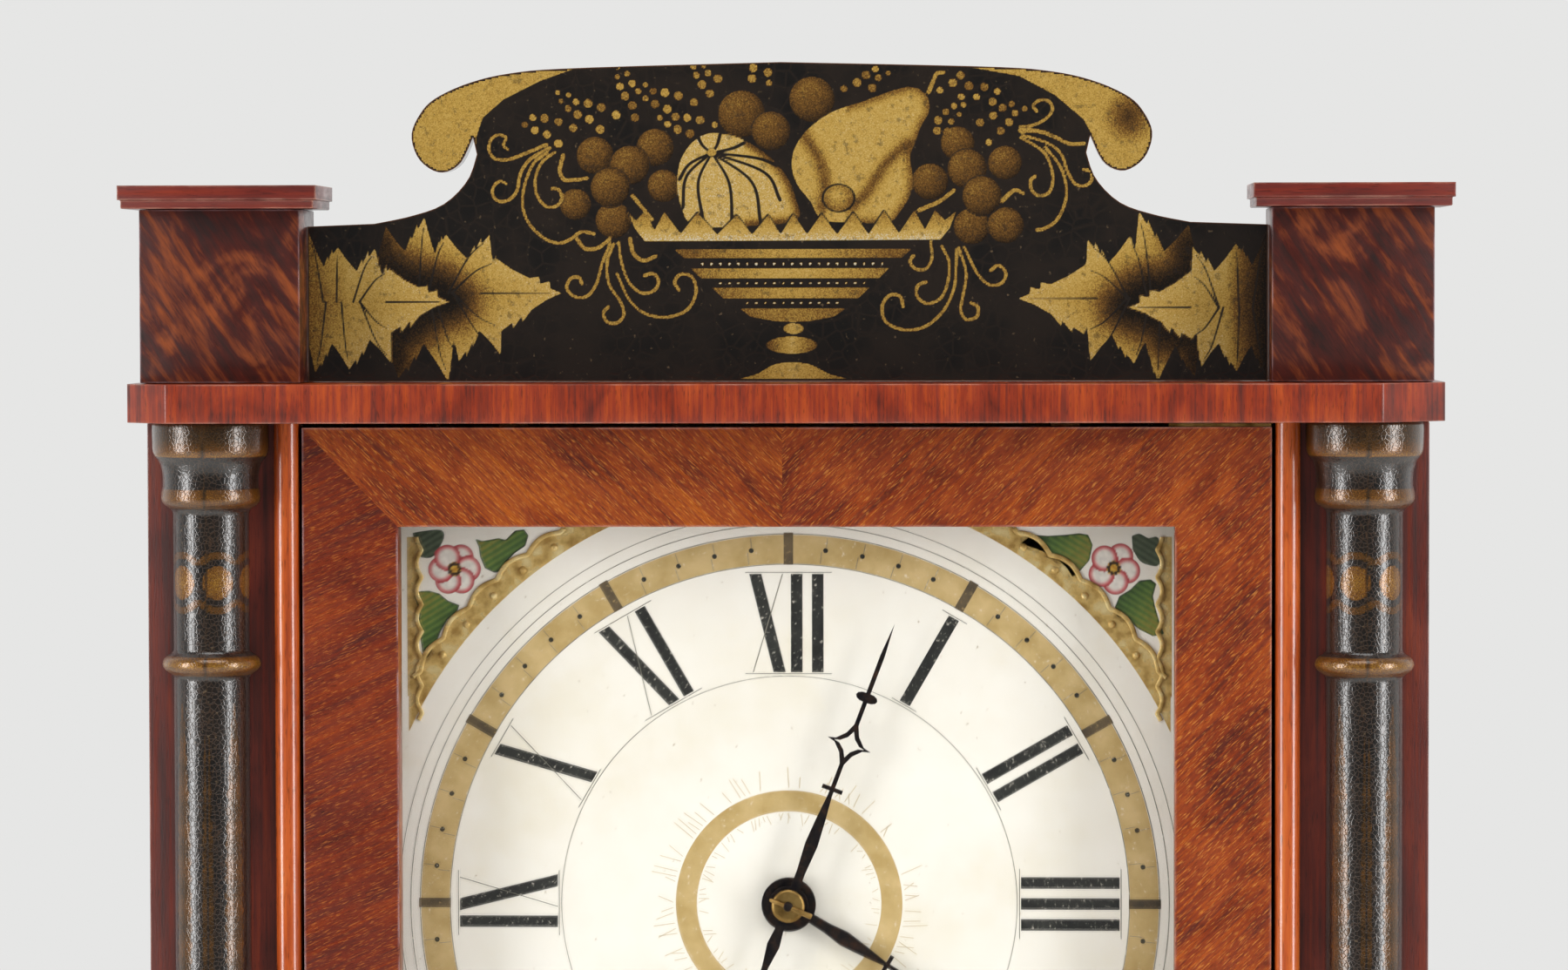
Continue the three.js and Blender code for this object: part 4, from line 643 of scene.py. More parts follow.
berries = [(-84.6, 88.2, 1.2), (-80.7, 87.9, 1.5), (-76, 86.8, 1.4), (-87.3, 85.9, 1.1),
    (-83.9, 84, 1.4), (-79.9, 82.6, 1.4), (-71.1, 84.7, 1.4), (-76.1, 79.5, 1.5),
    (-62.1, 84.2, 1.5), (-70.1, 93.4, 1.2), (-66.1, 92.9, 1.5), (-61.7, 91.5, 1.5),
    (-72.8, 91.2, 1.2), (-69.6, 89.2, 1.5), (-65.7, 87.6, 1.5), (-56.7, 89, 1.5),
    (-76.2, 96.5, 0.9), (-72.6, 95.7, 0.9), (-75.2, 93.6, 0.9), (-56.2, 104.9, 0.9),
    (-56.3, 101.7, 0.9), (-53, 102.7, 1), (-55.4, 98.5, 1.3), (-51.3, 99.5, 1.3),
    (-49.3, 96.9, 1.1), (-53.7, 95.3, 1.5), (-46.9, 94.5, 1.1), (-46.9, 99, 0.9),
    (-44.3, 96.9, 1.2), (-40.4, 96.4, 1.5), (-35.9, 95.3, 1.5), (-43.7, 92.6, 1.5),
    (-51.3, 92.1, 1.5), (-39.6, 90.9, 1.5), (-30.7, 93.1, 1.4), (-50.4, 88.1, 1.4),
    (-42.1, 88, 1), (-36.9, 88.3, 1.4), (-33, 88, 1.4), (-28.6, 87.2, 1.5), (-39.5, 85.9, 1.2),
    (-36.2, 84.1, 1.5), (-32.1, 82.7, 1.5), (-23.8, 85.6, 1.1), (-30.8, 105, 1.1),
    (-27.5, 105.2, 0.9), (-29.9, 102.2, 1.2), (-26, 102.8, 1.2), (-22.7, 101, 1.5),
    (-28, 99, 1.5), (-25.4, 96.1, 1.4), (-10.9, 104.6, 1.5), (-6, 103, 1.5), (-11.3, 101, 1.5),
    (-5.6, 99.5, 1.1), (19.3, 97.5, 1.2), (23.7, 99.5, 1.5), (26.7, 102, 1.5), (29.8, 104, 1.2),
    (30.8, 101.1, 1.2), (34, 102.6, 0.9), (28.8, 97.7, 1.5), (58.2, 101.8, 1.4),
    (55.6, 99.3, 1.5), (61, 98.3, 1.5), (66.1, 97.9, 1.4), (70.4, 96.4, 1.2), (51.3, 96.9, 1.2),
    (58.4, 94.7, 1.2), (63.5, 94.6, 1.2), (68.8, 93, 1.4), (56, 91.6, 1.1), (59.1, 92, 1),
    (53.3, 89.7, 1.2), (57.7, 88.8, 0.9), (50.7, 86.9, 1.4), (55.1, 86.5, 1.1),
    (50.4, 83.4, 1.4), (53.8, 83, 1.4), (64.7, 86.1, 1.4), (69.1, 88.4, 1.4), (72.1, 90.9, 1.4),
    (75.1, 92.2, 1.1), (76.3, 89.2, 1.2), (74.3, 86.2, 1.4), (71.5, 83.3, 1.4),
    (79.5, 90.6, 1), (67.6, 79.5, 1.2)]
for cx, cz, r in berries:
    design.press(disc(x, z, cx, cz, r), 0.50 + 0.22 * ((cx * 7.3 + cz * 3.1) % 1.0), 0.2)
tendrils = [
    [(-92.9, 77.6), (-94.5, 79), (-93.6, 81.6), (-96.5, 82.4), (-98.8, 80.6), (-99.3, 77.4),
     (-97.4, 74.6), (-93.2, 74.2), (-88.8, 75.6), (-80, 79.2)],
    [(-93.6, 66.2), (-95.6, 67), (-97.6, 65.6), (-98.2, 62.8), (-96.4, 60.4), (-92.9, 60.7),
     (-90, 63.8), (-88.8, 69.5), (-85.5, 74.3), (-79, 78)],
    [(-79.8, 76.6), (-84.6, 72.6), (-87.6, 65), (-88, 58), (-85.6, 52.3), (-80.7, 47.8),
     (-75.8, 46.3), (-71.7, 47.8), (-68.6, 50), (-64.3, 49.4)],
    [(-77.3, 76.6), (-81.4, 73.5), (-83.7, 68.6), (-83.5, 62.9), (-80.6, 58.8), (-77, 58.6),
     (-75, 61.2), (-76, 64.1), (-78.2, 64.5)],
    [(-74.5, 75.5), (-75.6, 70.6), (-74.1, 67.4), (-70.6, 67.4), (-66.5, 67.9)],
    [(77.9, 84.6), (82.4, 85.2), (86.4, 87.2), (88.7, 90.1), (87.7, 92.9), (84.8, 93.5),
     (82.4, 91.8), (83.4, 89.8)],
    [(78, 83.4), (84.8, 83), (89.7, 81.1), (94.6, 78.9), (99.3, 79)],
    [(78.6, 81.8), (83.2, 80.6), (88.1, 78.7), (91.7, 75.4), (93.8, 69.8), (96.2, 65.7),
     (99.4, 64.9), (101.7, 66.8), (101.6, 69.6), (99.2, 70.4)],
    [(78.2, 81), (84.8, 77.1), (87.7, 73), (88.9, 67.3), (87.7, 62.9), (84.4, 61.7),
     (82, 63.3), (81.4, 66.5), (83, 68.2)],
    [(86.4, 77.9), (91.3, 71.4), (93.3, 64.9), (92.9, 59.2), (90.1, 53.5), (86.4, 50.9),
     (83.6, 50.3)],
    [(47.6, 96.3), (48.9, 99.4), (50.3, 102.4), (52.6, 102.8)],
    [(-58.8, 46.2), (-61.4, 40), (-63.5, 32.7), (-66.6, 28.6), (-70.8, 28.4), (-73.4, 31.2),
     (-72.2, 34.4), (-69.4, 34.8), (-68.4, 32.8)],
    [(-57.6, 46), (-59.8, 40), (-59.3, 32.7), (-55.4, 26.5), (-54.4, 22.3), (-56.6, 19.6),
     (-59.9, 19.9), (-61.2, 22.9), (-59.5, 24.9)],
    [(-56, 46.5), (-55.1, 40), (-52.6, 33.2), (-48.4, 29.6), (-44.2, 30.4), (-42.7, 33.5),
     (-44.4, 36), (-47.4, 35.4)],
    [(-56.6, 36), (-52.6, 27.5), (-47.4, 22.8), (-40.1, 21.5), (-33.3, 23.8), (-30.2, 29.5),
     (-31.4, 34.7), (-35.2, 35.8), (-37.3, 33.2), (-35.9, 30.6)],
    [(-52.2, 47.6), (-51, 42.8), (-47.7, 40.4), (-43.5, 41.9)],
    [(-69.9, 47.5), (-67.1, 44.4), (-62.9, 44.7), (-59, 47.6)],
    [(48.2, 46.5), (48.6, 41), (46.5, 37.4), (43.1, 37.5), (41.3, 39.8), (42.4, 41.8)],
    [(51.9, 45), (54.3, 39.7), (54, 33.5), (51.7, 27.8), (47, 25.9), (43.6, 28.4),
     (43.9, 31.8), (46.7, 33.1)],
    [(56.8, 44), (56.6, 37), (55.8, 30.4), (52.2, 23.2), (45.9, 18), (38.7, 17.2), (33, 20.1),
     (32.1, 25.3), (34.7, 28.7), (38, 28.2), (39, 24.9)],
    [(57.6, 44.4), (60, 36), (58.9, 28.3), (58.2, 23.7), (59.9, 20.6), (63.4, 21.3),
     (64, 24.5), (61.7, 26.1)],
    [(59.4, 44.6), (63.6, 36.1), (67.7, 32.1), (71.9, 32.7), (73.2, 36.1), (70.8, 38.5),
     (68.1, 36.8)],
    [(-51.3, 62), (-48.5, 58.6), (-44.8, 54.2)], [(44.4, 57), (51.3, 60), (56, 63.6)],
    [(72, 60), (76, 63.5), (79, 62.5)]]
for path in tendrils:
    hook = len(path) > 5
    design.press(stroke(x, z, smooth(path), 0.5 if hook else 0.75, 0.62), 0.66, 0.3)
design.edge = np.clip(design.edge, -3, 3)
keep = inside & (nearest > 0.3)
whole = keep[:-1, :-1] & keep[1:, :-1] & keep[:-1, 1:] & keep[1:, 1:]
near = design.edge > -1.4
whole &= near[:-1, :-1] | near[1:, :-1] | near[:-1, 1:] | near[1:, 1:]
splat_stencil = sheet(
    "splat_stencil", np.stack([grid_x, np.full(grid_x.shape, splat_front - 0.1),
                               grid_z + splat_foot], -1), whole,
    {"edge": design.edge, "bronze": design.bronze})
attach(splat_stencil, "case")


def bronzed(made, bright="#c09a45", brown="#7a5420", speckle=0.55):
    """Adds bronze powder over a black lacquer where the mesh's edge attribute, in millimetres,
    is above 0, as thick as its bronze attribute says, with bare specks rubbed through it."""
    tree = made.node_tree
    shader = tree.nodes["Principled BSDF"]
    black = shader.inputs["Base Color"].links[0].from_socket
    place = add(tree, "TexCoord").outputs["Object"]
    edge = add(tree, "Attribute", attribute_name="edge").outputs["Fac"]
    powder = add(tree, "Attribute", attribute_name="bronze").outputs["Fac"]
    grain = add(tree, "TexNoise", {"Scale": 2600.0, "Detail": 2.0, "Vector": place})
    rubs = add(tree, "TexNoise",
               {"Scale": 420.0, "Detail": 5.0, "Roughness": 0.7, "Vector": place})
    jitter = add(tree, "Math", {1: 0.5, 0: grain}, operation="SUBTRACT")
    jitter = add(tree, "Math", {1: 0.7, 0: jitter, 2: powder}, operation="MULTIPLY_ADD")
    gold = add(tree, "ValToRGB", {"Fac": jitter}, [(0.06, "#140e08"), (0.30, "#4a3214"),
                                                   (0.50, brown), (0.74, bright),
                                                   (0.92, "#d2b064"), (1.0, "#d9d0b6")])
    shown = add(tree, "MapRange", {"From Min": -0.14, "From Max": 0.14, "Value": edge})
    bare = add(tree, "ValToRGB", {"Fac": rubs}, [(0.36, 1.0 - speckle), (0.44, 1.0)])
    cover = add(tree, "Math", {0: shown, 1: bare}, operation="MULTIPLY")
    metal = add(tree, "Math", {1: 0.35, 0: cover}, operation="MULTIPLY")
    fill(shader, {"Base Color": add(tree, "Mix", {0: cover, 6: black, 7: gold},
                                    data_type="RGBA").outputs[2], "Metallic": metal})
    return made


splat_bronze = bronzed(lacquer("bronze powder on black japanning", "#1d150f", 5.0, 0.0))
splat_stencil.data.materials.append(splat_bronze)


# Half-columns: turned as whole balusters, sawn in two and glued to the stiles, then japanned.
# Their varnish has crackled, and bronze shows brown through it on the capitals, the rings and in
# the stencilled discs and tall leaves of the shaft.
turned = np.array([(0, 19.3), (1.2, 19.6), (9.6, 19.4), (11.5, 18.6), (12.6, 17.2), (16.5, 16.2),
                   (19.5, 16), (20.5, 16.2), (21.4, 15.6), (22, 16.3), (24.6, 16.7),
                   (27.2, 16.3), (28.2, 14.2), (29.4, 12.7), (76.8, 12.7), (77.8, 15.6),
                   (80.4, 16.7), (83, 15.6), (84, 12.7), (400, 12.7)])
shaft_radius, disc_height, leaf_foot, leaf_length = 12.7, 53, 92, 150
column_lacquer = bronzed(lacquer("bronze under crackled column varnish", "#3a2a1e", 1.5, 0.0,
                                 0.00006, 0.45), "#a77b2c", "#6b4216", 0.5)
for node_name, side in (("left_half_column", -1), ("right_half_column", 1)):
    low, high = (corner * 1000 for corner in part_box(node_name))
    middle, back, foot, head = (low[0] + high[0]) / 2, high[1], low[2], high[2]
    height = np.linspace(foot, head, 800)
    from_end = np.minimum(height - foot, head - height)
    radius = np.interp(from_end, turned[:, 0], turned[:, 1])
    radius[1:-1] = (radius[:-2] + 2 * radius[1:-1] + radius[2:]) / 4
    angle = np.linspace(-math.pi / 2, math.pi / 2, 49)
    points = np.stack([middle + radius[:, None] * np.sin(angle),
                       back - radius[:, None] * np.cos(angle),
                       np.repeat(height[:, None], 49, 1)], -1) / 1000
    made = grid_mesh(node_name + "_turned", points, close_u=True, caps=True)
    u, h = np.meshgrid(angle * shaft_radius * side, from_end)
    marks = Stencil(u, h)
    marks.press(np.minimum(h + 2, 11.3 - h), 0.22 + 0.34 * np.clip((h - 5) / 6, 0, 1))
    marks.press(np.minimum(h - 22, 28.4 - h), 0.50 - 0.03 * np.abs(h - 25) + 0 * u)
    marks.press(np.minimum(h - 77.6, 84 - h), 0.60 - 0.05 * np.abs(h - 80.4) + 0 * u)
    for cu in (-17.4, -4.0, 9.4):
        ring = np.hypot(u - cu, (h - disc_height) * 0.95)
        frame_part = np.minimum(np.minimum(ring - 7.4, 9.9 - ring), np.abs(h - disc_height) - 5.6)
        marks.press(frame_part, 0.36 + 0 * u, 0.2)
        marks.press(5.4 - ring, 0.60 - 0.02 * ring, 0.2)
    along = (h - leaf_foot) / leaf_length
    for cu, half, powder in ((-9.5, 4.2, 0.34), (9.5, 4.2, 0.34), (0, 2.2, 0.26)):
        teeth = 0.72 + 0.28 * np.abs(((h - 0.8 * np.abs(u - cu)) / 5.5) % 1 * 2 - 1)
        blade = half * np.sin(np.clip(along, 0, 1) * math.pi) ** 0.6 * teeth - np.abs(u - cu)
        marks.press(blade, powder + 0.06 * np.sin(h / 2.1), 0.2)
        ribbed = np.minimum(marks.edge, np.abs(u - cu) - 0.35)
        marks.edge = np.where(h > leaf_foot - 1, ribbed, marks.edge)
    for key, values in (("edge", marks.edge), ("bronze", marks.bronze)):
        made.data.attributes.new(key, "FLOAT", "POINT").data.foreach_set(
            "value", np.clip(values, -3, 3).reshape(-1).astype(np.float32))
    made.data.materials.append(column_lacquer)
    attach(made, "case")
    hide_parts(node_name)


# Door veneer: one leaf of mahogany to each side of the frame, mitred at the upper left corner and
# butted at the middle of the top rail, with the grain running diagonally across the frame.
def slab(name, outlines, front, back, surfaces, body):
    """A flat board between two depths in y, made of convex outlines of x, z in millimetres that
    may share sides. Each has the surface whose number stands with its outline."""
    corners, faces, numbers, sides = {}, [], [], {}
    for outline, number in outlines:
        area = sum(a[0] * b[1] - b[0] * a[1] for a, b in zip(outline, outline[1:] + outline[:1]))
        ring = [corners.setdefault((round(px, 4), round(pz, 4)), len(corners))
                for px, pz in (outline if area > 0 else outline[::-1])]
        faces.append(ring)
        numbers.append(number)
        for first, second in zip(ring, ring[1:] + ring[:1]):
            sides[first, second] = number
    count, flat = len(corners), len(faces)
    faces += [[k + count for k in reversed(ring)] for ring in faces[:flat]]
    numbers += numbers[:flat]
    for (first, second), number in sides.items():
        if (second, first) not in sides:
            faces.append([second, first, first + count, second + count])
            numbers.append(number)
    mesh = bpy.data.meshes.new(name)
    mesh.from_pydata([(px / 1000, y / 1000, pz / 1000) for y in (front, back)
                      for px, pz in corners], [], faces)
    mesh.polygons.foreach_set("material_index", numbers)
    for surface in surfaces:
        mesh.materials.append(surface)
    mesh.update()
    made = bpy.data.objects.new(name, mesh)
    bpy.context.collection.objects.link(made)
    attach(made, body)
    return made


falling = wood("door veneer, grain falling to the right", "#571a05", "#86350b", "#a65214",
               (1.2, 30, 34), (14, 30, 30), (0.4, 3, 3.2), slant=-0.80, worn="#c79a8c", wear=0.7,
               roughness=0.3, coat=0.5, fleck="#cf8636")
rising = wood("door veneer, grain rising to the right", "#551906", "#81300b", "#a04915",
              (1.3, 30, 30), (16, 30, 24), (0.4, 3, 3.2), slant=0.80, worn="#c79a8c", wear=0.7,
              roughness=0.3, coat=0.5, fleck="#cf8636")
plain = wood("door veneer, dark left leaf", "#4a1307", "#6a220b", "#853411",
             (2.2, 30, 40), (20, 30, 44), (0.4, 3, 3), slant=1.15, worn="#b9a3a6", wear=0.8,
             roughness=0.3, coat=0.5, fleck="#b06526")
door_low, door_high = (corner * 1000 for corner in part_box("door_left_stile"))
left, foot, head, door_front = door_low[0], door_low[2], door_high[2], door_low[1]
right_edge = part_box("door_right_stile")[1][0] * 1000
inner_left, inner_right = door_high[0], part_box("door_right_stile")[0][0] * 1000
rail = {name: [corner[2] * 1000 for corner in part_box("door_" + name + "_rail")]
        for name in ("top", "middle", "bottom")}
top = rail["top"][0]
slab("door_veneer", [
    ([(left, foot), (inner_left, rail["bottom"][0]), (inner_left, rail["bottom"][1]),
      (inner_left, rail["middle"][0]), (inner_left, rail["middle"][1]), (inner_left, top),
      (left, head)], 2),
    ([(left, head), (inner_left, top), (-1, top), (-1, head)], 0),
    ([(-1, head), (-1, top), (inner_right, top), (right_edge, head)], 1),
    ([(right_edge, foot), (right_edge, head), (inner_right, top),
      (inner_right, rail["middle"][1]), (inner_right, rail["middle"][0]),
      (inner_right, rail["bottom"][1]), (inner_right, rail["bottom"][0])], 1),
    ([(inner_left, rail["middle"][0]), (inner_right, rail["middle"][0]),
      (inner_right, rail["middle"][1]), (inner_left, rail["middle"][1])], 0),
    ([(inner_left, rail["bottom"][0]), (inner_right, rail["bottom"][0]),
      (inner_right, rail["bottom"][1]), (inner_left, rail["bottom"][1])], 1)],
    door_front - 0.15, door_front, [falling, rising, plain], "door")


# Dial: a thin board painted cream over gesso, its paint finely crackled and soiled.
paint, tree, shader, place = material("cream dial paint", 0.45)
soil = add(tree, "TexNoise", {"Scale": 26.0, "Detail": 6.0, "Roughness": 0.6, "Vector": place})
specks = add(tree, "TexNoise", {"Scale": 420.0, "Detail": 3.0, "Vector": place})
colour = add(tree, "ValToRGB", {"Fac": soil},
             [(0.28, "#e9e2d0"), (0.48, "#f0ebdf"), (0.66, "#f4f0e6")])
fleck = add(tree, "ValToRGB", {"Fac": specks}, [(0.70, 0.0), (0.78, 0.6)])
colour = add(tree, "Mix", {0: fleck, 6: colour, 7: "#a08a63"}, data_type="RGBA").outputs[2]
brush = add(tree, "Bump", {"Strength": 0.25, "Distance": 0.00008, "Height": soil})
fill(shader, {"Base Color": colour, "Normal": brush})
finish(["dial_board"], paint)


# Dial painting: a gilt minute band with dots and worn five-minute bars, Roman numerals with their
# pencil setting-out lines, a gilt ring round the hands, and in each corner a painted flower with
# leaves behind a raised gilt gesso border. It lies on the face of the dial board.
dial_low, dial_high = (corner * 1000 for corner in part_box("dial_board"))
dial_face, dial_z = dial_low[1], (dial_low[2] + dial_high[2]) / 2


def polar(radius, degrees):
    """A point at a radius from the dial's centre, turned clockwise from 12 o'clock."""
    turned_by = math.radians(degrees)
    return radius * math.sin(turned_by), dial_z + radius * math.cos(turned_by)


def ring_parts(inner, outer, count=180):
    """A flat ring as four-sided parts."""
    edges = np.linspace(0, 360, count + 1)[:-1]
    return [([polar(inner, a), polar(outer, a), polar(outer, a + 360 / count),
              polar(inner, a + 360 / count)], 0) for a in edges]


def bar(u0, v0, u1, v1, wide, degrees, ends_flat=False):
    """A straight stroke from (u0, v0) to (u1, v1), u across and v out from the dial's centre,
    on the hour line at some degrees. ends_flat cuts the ends square to the hour line."""
    du, dv = u1 - u0, v1 - v0
    long = math.hypot(du, dv)
    nu, nv = (wide / 2 * long / abs(dv), 0) if ends_flat else (-dv / long * wide / 2,
                                                               du / long * wide / 2)
    sine, cosine = math.sin(math.radians(degrees)), math.cos(math.radians(degrees))
    return ([(u * cosine + v * sine, dial_z - u * sine + v * cosine)
             for u, v in ((u0 - nu, v0 - nv), (u1 - nu, v1 - nv), (u1 + nu, v1 + nv),
                          (u0 + nu, v0 + nv))], 0)


def worn_paint(name, dark, light, bare, amount, gloss=0.5, size=700.0):
    """Thin old paint or leaf: two close tones, with specks worn through to what lies under it."""
    made, tree, shader, place = material(name, gloss)
    tone = add(tree, "TexNoise", {"Scale": 110.0, "Detail": 5.0, "Vector": place})
    rub = add(tree, "TexNoise", {"Scale": size, "Detail": 4.0, "Roughness": 0.65, "Vector": place})
    colour = add(tree, "ValToRGB", {"Fac": tone}, [(0.35, dark), (0.65, light)])
    gone = add(tree, "ValToRGB", {"Fac": rub}, [(0.60, 0.0), (0.70, amount)])
    rough = add(tree, "ValToRGB", {"Fac": rub}, [(0.4, gloss - 0.12), (0.7, gloss + 0.2)])
    fill(shader, {"Base Color": add(tree, "Mix", {0: gone, 6: colour, 7: bare},
                                    data_type="RGBA").outputs[2], "Roughness": rough})
    return made


gilt = worn_paint("dull gilding on the dial", "#b69a60", "#cdb27c", "#e9e0ca", 0.6, 0.4, 520.0)
band_radii, hand_ring_radii = (115.0, 124.7), (31.2, 38.3)
slab("minute_band", ring_parts(*band_radii), dial_face - 0.05, dial_face, [gilt], "case")
slab("hand_ring", ring_parts(*hand_ring_radii, 90), dial_face - 0.05, dial_face, [gilt], "case")
ink = worn_paint("black numeral paint", "#1c1d1b", "#2e2f2b", "#cfc9ba", 0.85, 0.45, 900.0)
thin_ink = worn_paint("faint pencil and thin ink", "#6a675c", "#8f8b7d", "#e2ddcf", 0.9, 0.6,
                      300.0)
bar_paint = worn_paint("worn dark minute bars", "#40372a", "#6e5d41", "#b39660", 0.9, 0.5, 800.0)
numerals, hairlines, bars, dots = [], [], [], []
foot_r, head_r, stem, dot_radius = 78.3, 111.5, 3.9, 0.85
shapes = {"I": 7.1, "V": 12.6, "X": 12.6}
for hour, text in enumerate(("I", "II", "III", "IIII", "V", "VI", "VII", "VIII", "IX", "X", "XI",
                             "XII"), 1):
    width = sum(shapes[letter] for letter in text)
    at = -width / 2
    for letter in text:
        wide = shapes[letter]
        if letter == "I":
            numerals.append(bar(at + wide / 2, foot_r, at + wide / 2, head_r, stem, hour * 30,
                                True))
        elif letter == "X":
            numerals.append(bar(at + wide - 2.2, foot_r, at + 2.2, head_r, stem * 1.02,
                                hour * 30, True))
            hairlines.append(bar(at + 1.5, foot_r, at + wide - 1.2, head_r, 0.3, hour * 30,
                                 True))
        else:
            numerals.append(bar(at + wide / 2 + 0.6, foot_r, at + 2.2, head_r, stem * 1.02,
                                hour * 30, True))
            hairlines.append(bar(at + wide / 2 + 1.4, foot_r, at + wide - 1.0, head_r, 0.3,
                                 hour * 30, True))
        at += wide
    for radius in (foot_r - 0.5, head_r + 0.5):
        hairlines.append(bar(-width / 2 - 1.2, radius, width / 2 + 1.2, radius, 0.26, hour * 30))
    bars.append(bar(0, 114.6, 0, 125.4, 3.2, hour * 30))
for minute in range(60):
    if minute % 5:
        degrees = minute * 6
        dot_x, dot_z = polar(120, degrees)
        dots.append(([(dot_x + dot_radius * math.cos(k * math.pi / 6),
                       dot_z + dot_radius * math.sin(k * math.pi / 6)) for k in range(12)], 0))
        hairlines.append(bar(-1.3, 115.4, -1.3, 119.4, 0.2, degrees))
        hairlines.append(bar(0.2, 121.0, 0.2, 124.2, 0.2, degrees))
slab("hour_numerals", numerals, dial_face - 0.06, dial_face, [ink], "case")
slab("minute_bars", bars, dial_face - 0.10, dial_face - 0.05, [bar_paint], "case")
slab("minute_dots", dots, dial_face - 0.10, dial_face - 0.05, [ink], "case")
slab("setting_out_lines", hairlines, dial_face - 0.09, dial_face - 0.07, [thin_ink], "case")
circles = []
for radius, wide in ((77.0, 0.22), (114.8, 0.28), (125.0, 0.28), (128.2, 0.26), (132.0, 0.22)):
    circles += ring_parts(radius - wide / 2, radius + wide / 2)
slab("setting_out_circles", circles, dial_face - 0.075, dial_face, [thin_ink], "case")
chance = np.random.default_rng(18)
blades = []
for degrees in np.arange(0, 360, 2.6):
    lean, tall = chance.uniform(-2.2, 2.2), chance.uniform(3.0, 8.5)
    if chance.random() < 0.6:
        blades.append(bar(0, 39.2, lean, 39.2 + tall, 0.3, degrees))
    if chance.random() < 0.5:
        blades.append(bar(0, 30.6, lean * 0.6, 30.6 - tall * 0.5, 0.26, degrees))
slab("faint_grass", blades, dial_face - 0.04, dial_face,
     [worn_paint("faint brown grass strokes", "#c9b793", "#d9cbab", "#ece6d6", 0.9)], "case")


class Painting(Stencil):
    """A stencil whose shapes also carry a colour."""

    def __init__(self, x, z):
        super().__init__(x, z)
        self.colour = np.tile(np.array(linear("#efeade")), x.shape + (1,))

    def dab(self, shape, tones, amount):
        """Paints a shape, its colour going through the tones as amount goes from 0 to 1."""
        self.edge = np.maximum(self.edge, shape)
        stops = np.linspace(0, 1, len(tones))
        codes = np.array([linear(tone) for tone in tones])
        fresh = np.stack([np.interp(amount, stops, codes[:, k]) for k in range(4)], -1)
        self.colour = np.where((shape > -0.25)[..., None], fresh, self.colour)


# Oil paint laid thinly by brush: soft colours that end sharply, a little uneven in tone.
corner_paint, tree, shader, place = material("flower painting on the dial", 0.4)
painted = add(tree, "Attribute", attribute_name="paint").outputs["Color"]
cover = add(tree, "Attribute", attribute_name="edge").outputs["Fac"]
shown = add(tree, "MapRange", {"From Min": -0.1, "From Max": 0.1, "Value": cover})
wash = add(tree, "TexNoise", {"Scale": 500.0, "Detail": 4.0, "Vector": place})
tone = add(tree, "ValToRGB", {"Fac": wash}, [(0.35, 0.82), (0.65, 1.0)])
fill(shader, {"Base Color": add(tree, "Mix", {0: 1.0, 6: painted, 7: tone}, data_type="RGBA",
                                blend_type="MULTIPLY").outputs[2], "Alpha": shown})
corners = {
    "left": (-112.9, 113.1, 6, 0.0788, (680, 645),
             [(770, 515), (800, 525), (830, 520), (870, 512), (900, 520), (940, 480), (980, 475),
              (998, 500), (985, 545), (940, 575), (905, 610), (885, 655), (850, 660), (810, 640),
              (790, 590), (785, 550)],
             [(505, 760), (530, 740), (570, 738), (615, 750), (650, 780), (700, 800), (690, 830),
              (650, 860), (620, 910), (600, 960), (560, 1030), (540, 1000), (530, 930),
              (520, 880), (530, 840), (520, 800)],
             [(500, 490), (560, 480), (625, 478), (635, 510), (610, 560), (580, 595), (530, 590),
              (540, 550), (510, 520)]),
    "right": (109.5, 113.4, 5, 0.075, (715, 675),
              [(300, 560), (350, 525), (420, 530), (500, 525), (560, 518), (600, 525), (620, 570),
               (605, 640), (570, 680), (530, 715), (510, 680), (470, 640), (400, 600),
               (330, 575)],
              [(790, 770), (830, 730), (880, 725), (905, 745), (890, 800), (900, 850), (920, 920),
               (940, 970), (890, 980), (830, 950), (780, 910), (730, 890), (720, 850),
               (740, 800)],
              [(795, 530), (830, 520), (870, 540), (915, 540), (920, 655), (870, 660),
               (830, 640), (800, 590)])}
# Gold leaf on raised gesso: warm and half matt, rubbed to a darker tone in small patches.
gesso, tree, shader, place = material("raised gilt gesso", 0.28, 0.3)
leaf = add(tree, "TexNoise", {"Scale": 240.0, "Detail": 5.0, "Vector": place})
fill(shader, {"Base Color": add(tree, "ValToRGB", {"Fac": leaf},
                                [(0.32, "#a5813f"), (0.5, "#d4b36c"), (0.7, "#ecd79e")]),
              "Roughness": add(tree, "ValToRGB", {"Fac": leaf}, [(0.3, 0.5), (0.6, 0.24)])})


def cord_mesh(name, path, radius, surface, body):
    """A rounded bead along a path of x, z in millimetres on the dial, sunk a little into it."""
    path = np.asarray(path, float)
    tangent = np.gradient(path, axis=0)
    tangent /= np.linalg.norm(tangent, axis=1)[:, None]
    turn_by = np.linspace(0, 2 * math.pi, 12, endpoint=False)
    side = radius * np.cos(turn_by)
    points = np.stack([path[:, None, 0] + tangent[:, None, 1] * side,
                       np.tile(dial_face - 0.05 - radius * (0.55 + 0.45
                               * np.sin(turn_by)), (len(path), 1)),
                       path[:, None, 1] - tangent[:, None, 0] * side], -1) / 1000
    made = grid_mesh(name, points[:, ::-1], close_u=True, caps=True)
    made.data.materials.append(surface)
    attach(made, body)
    return made


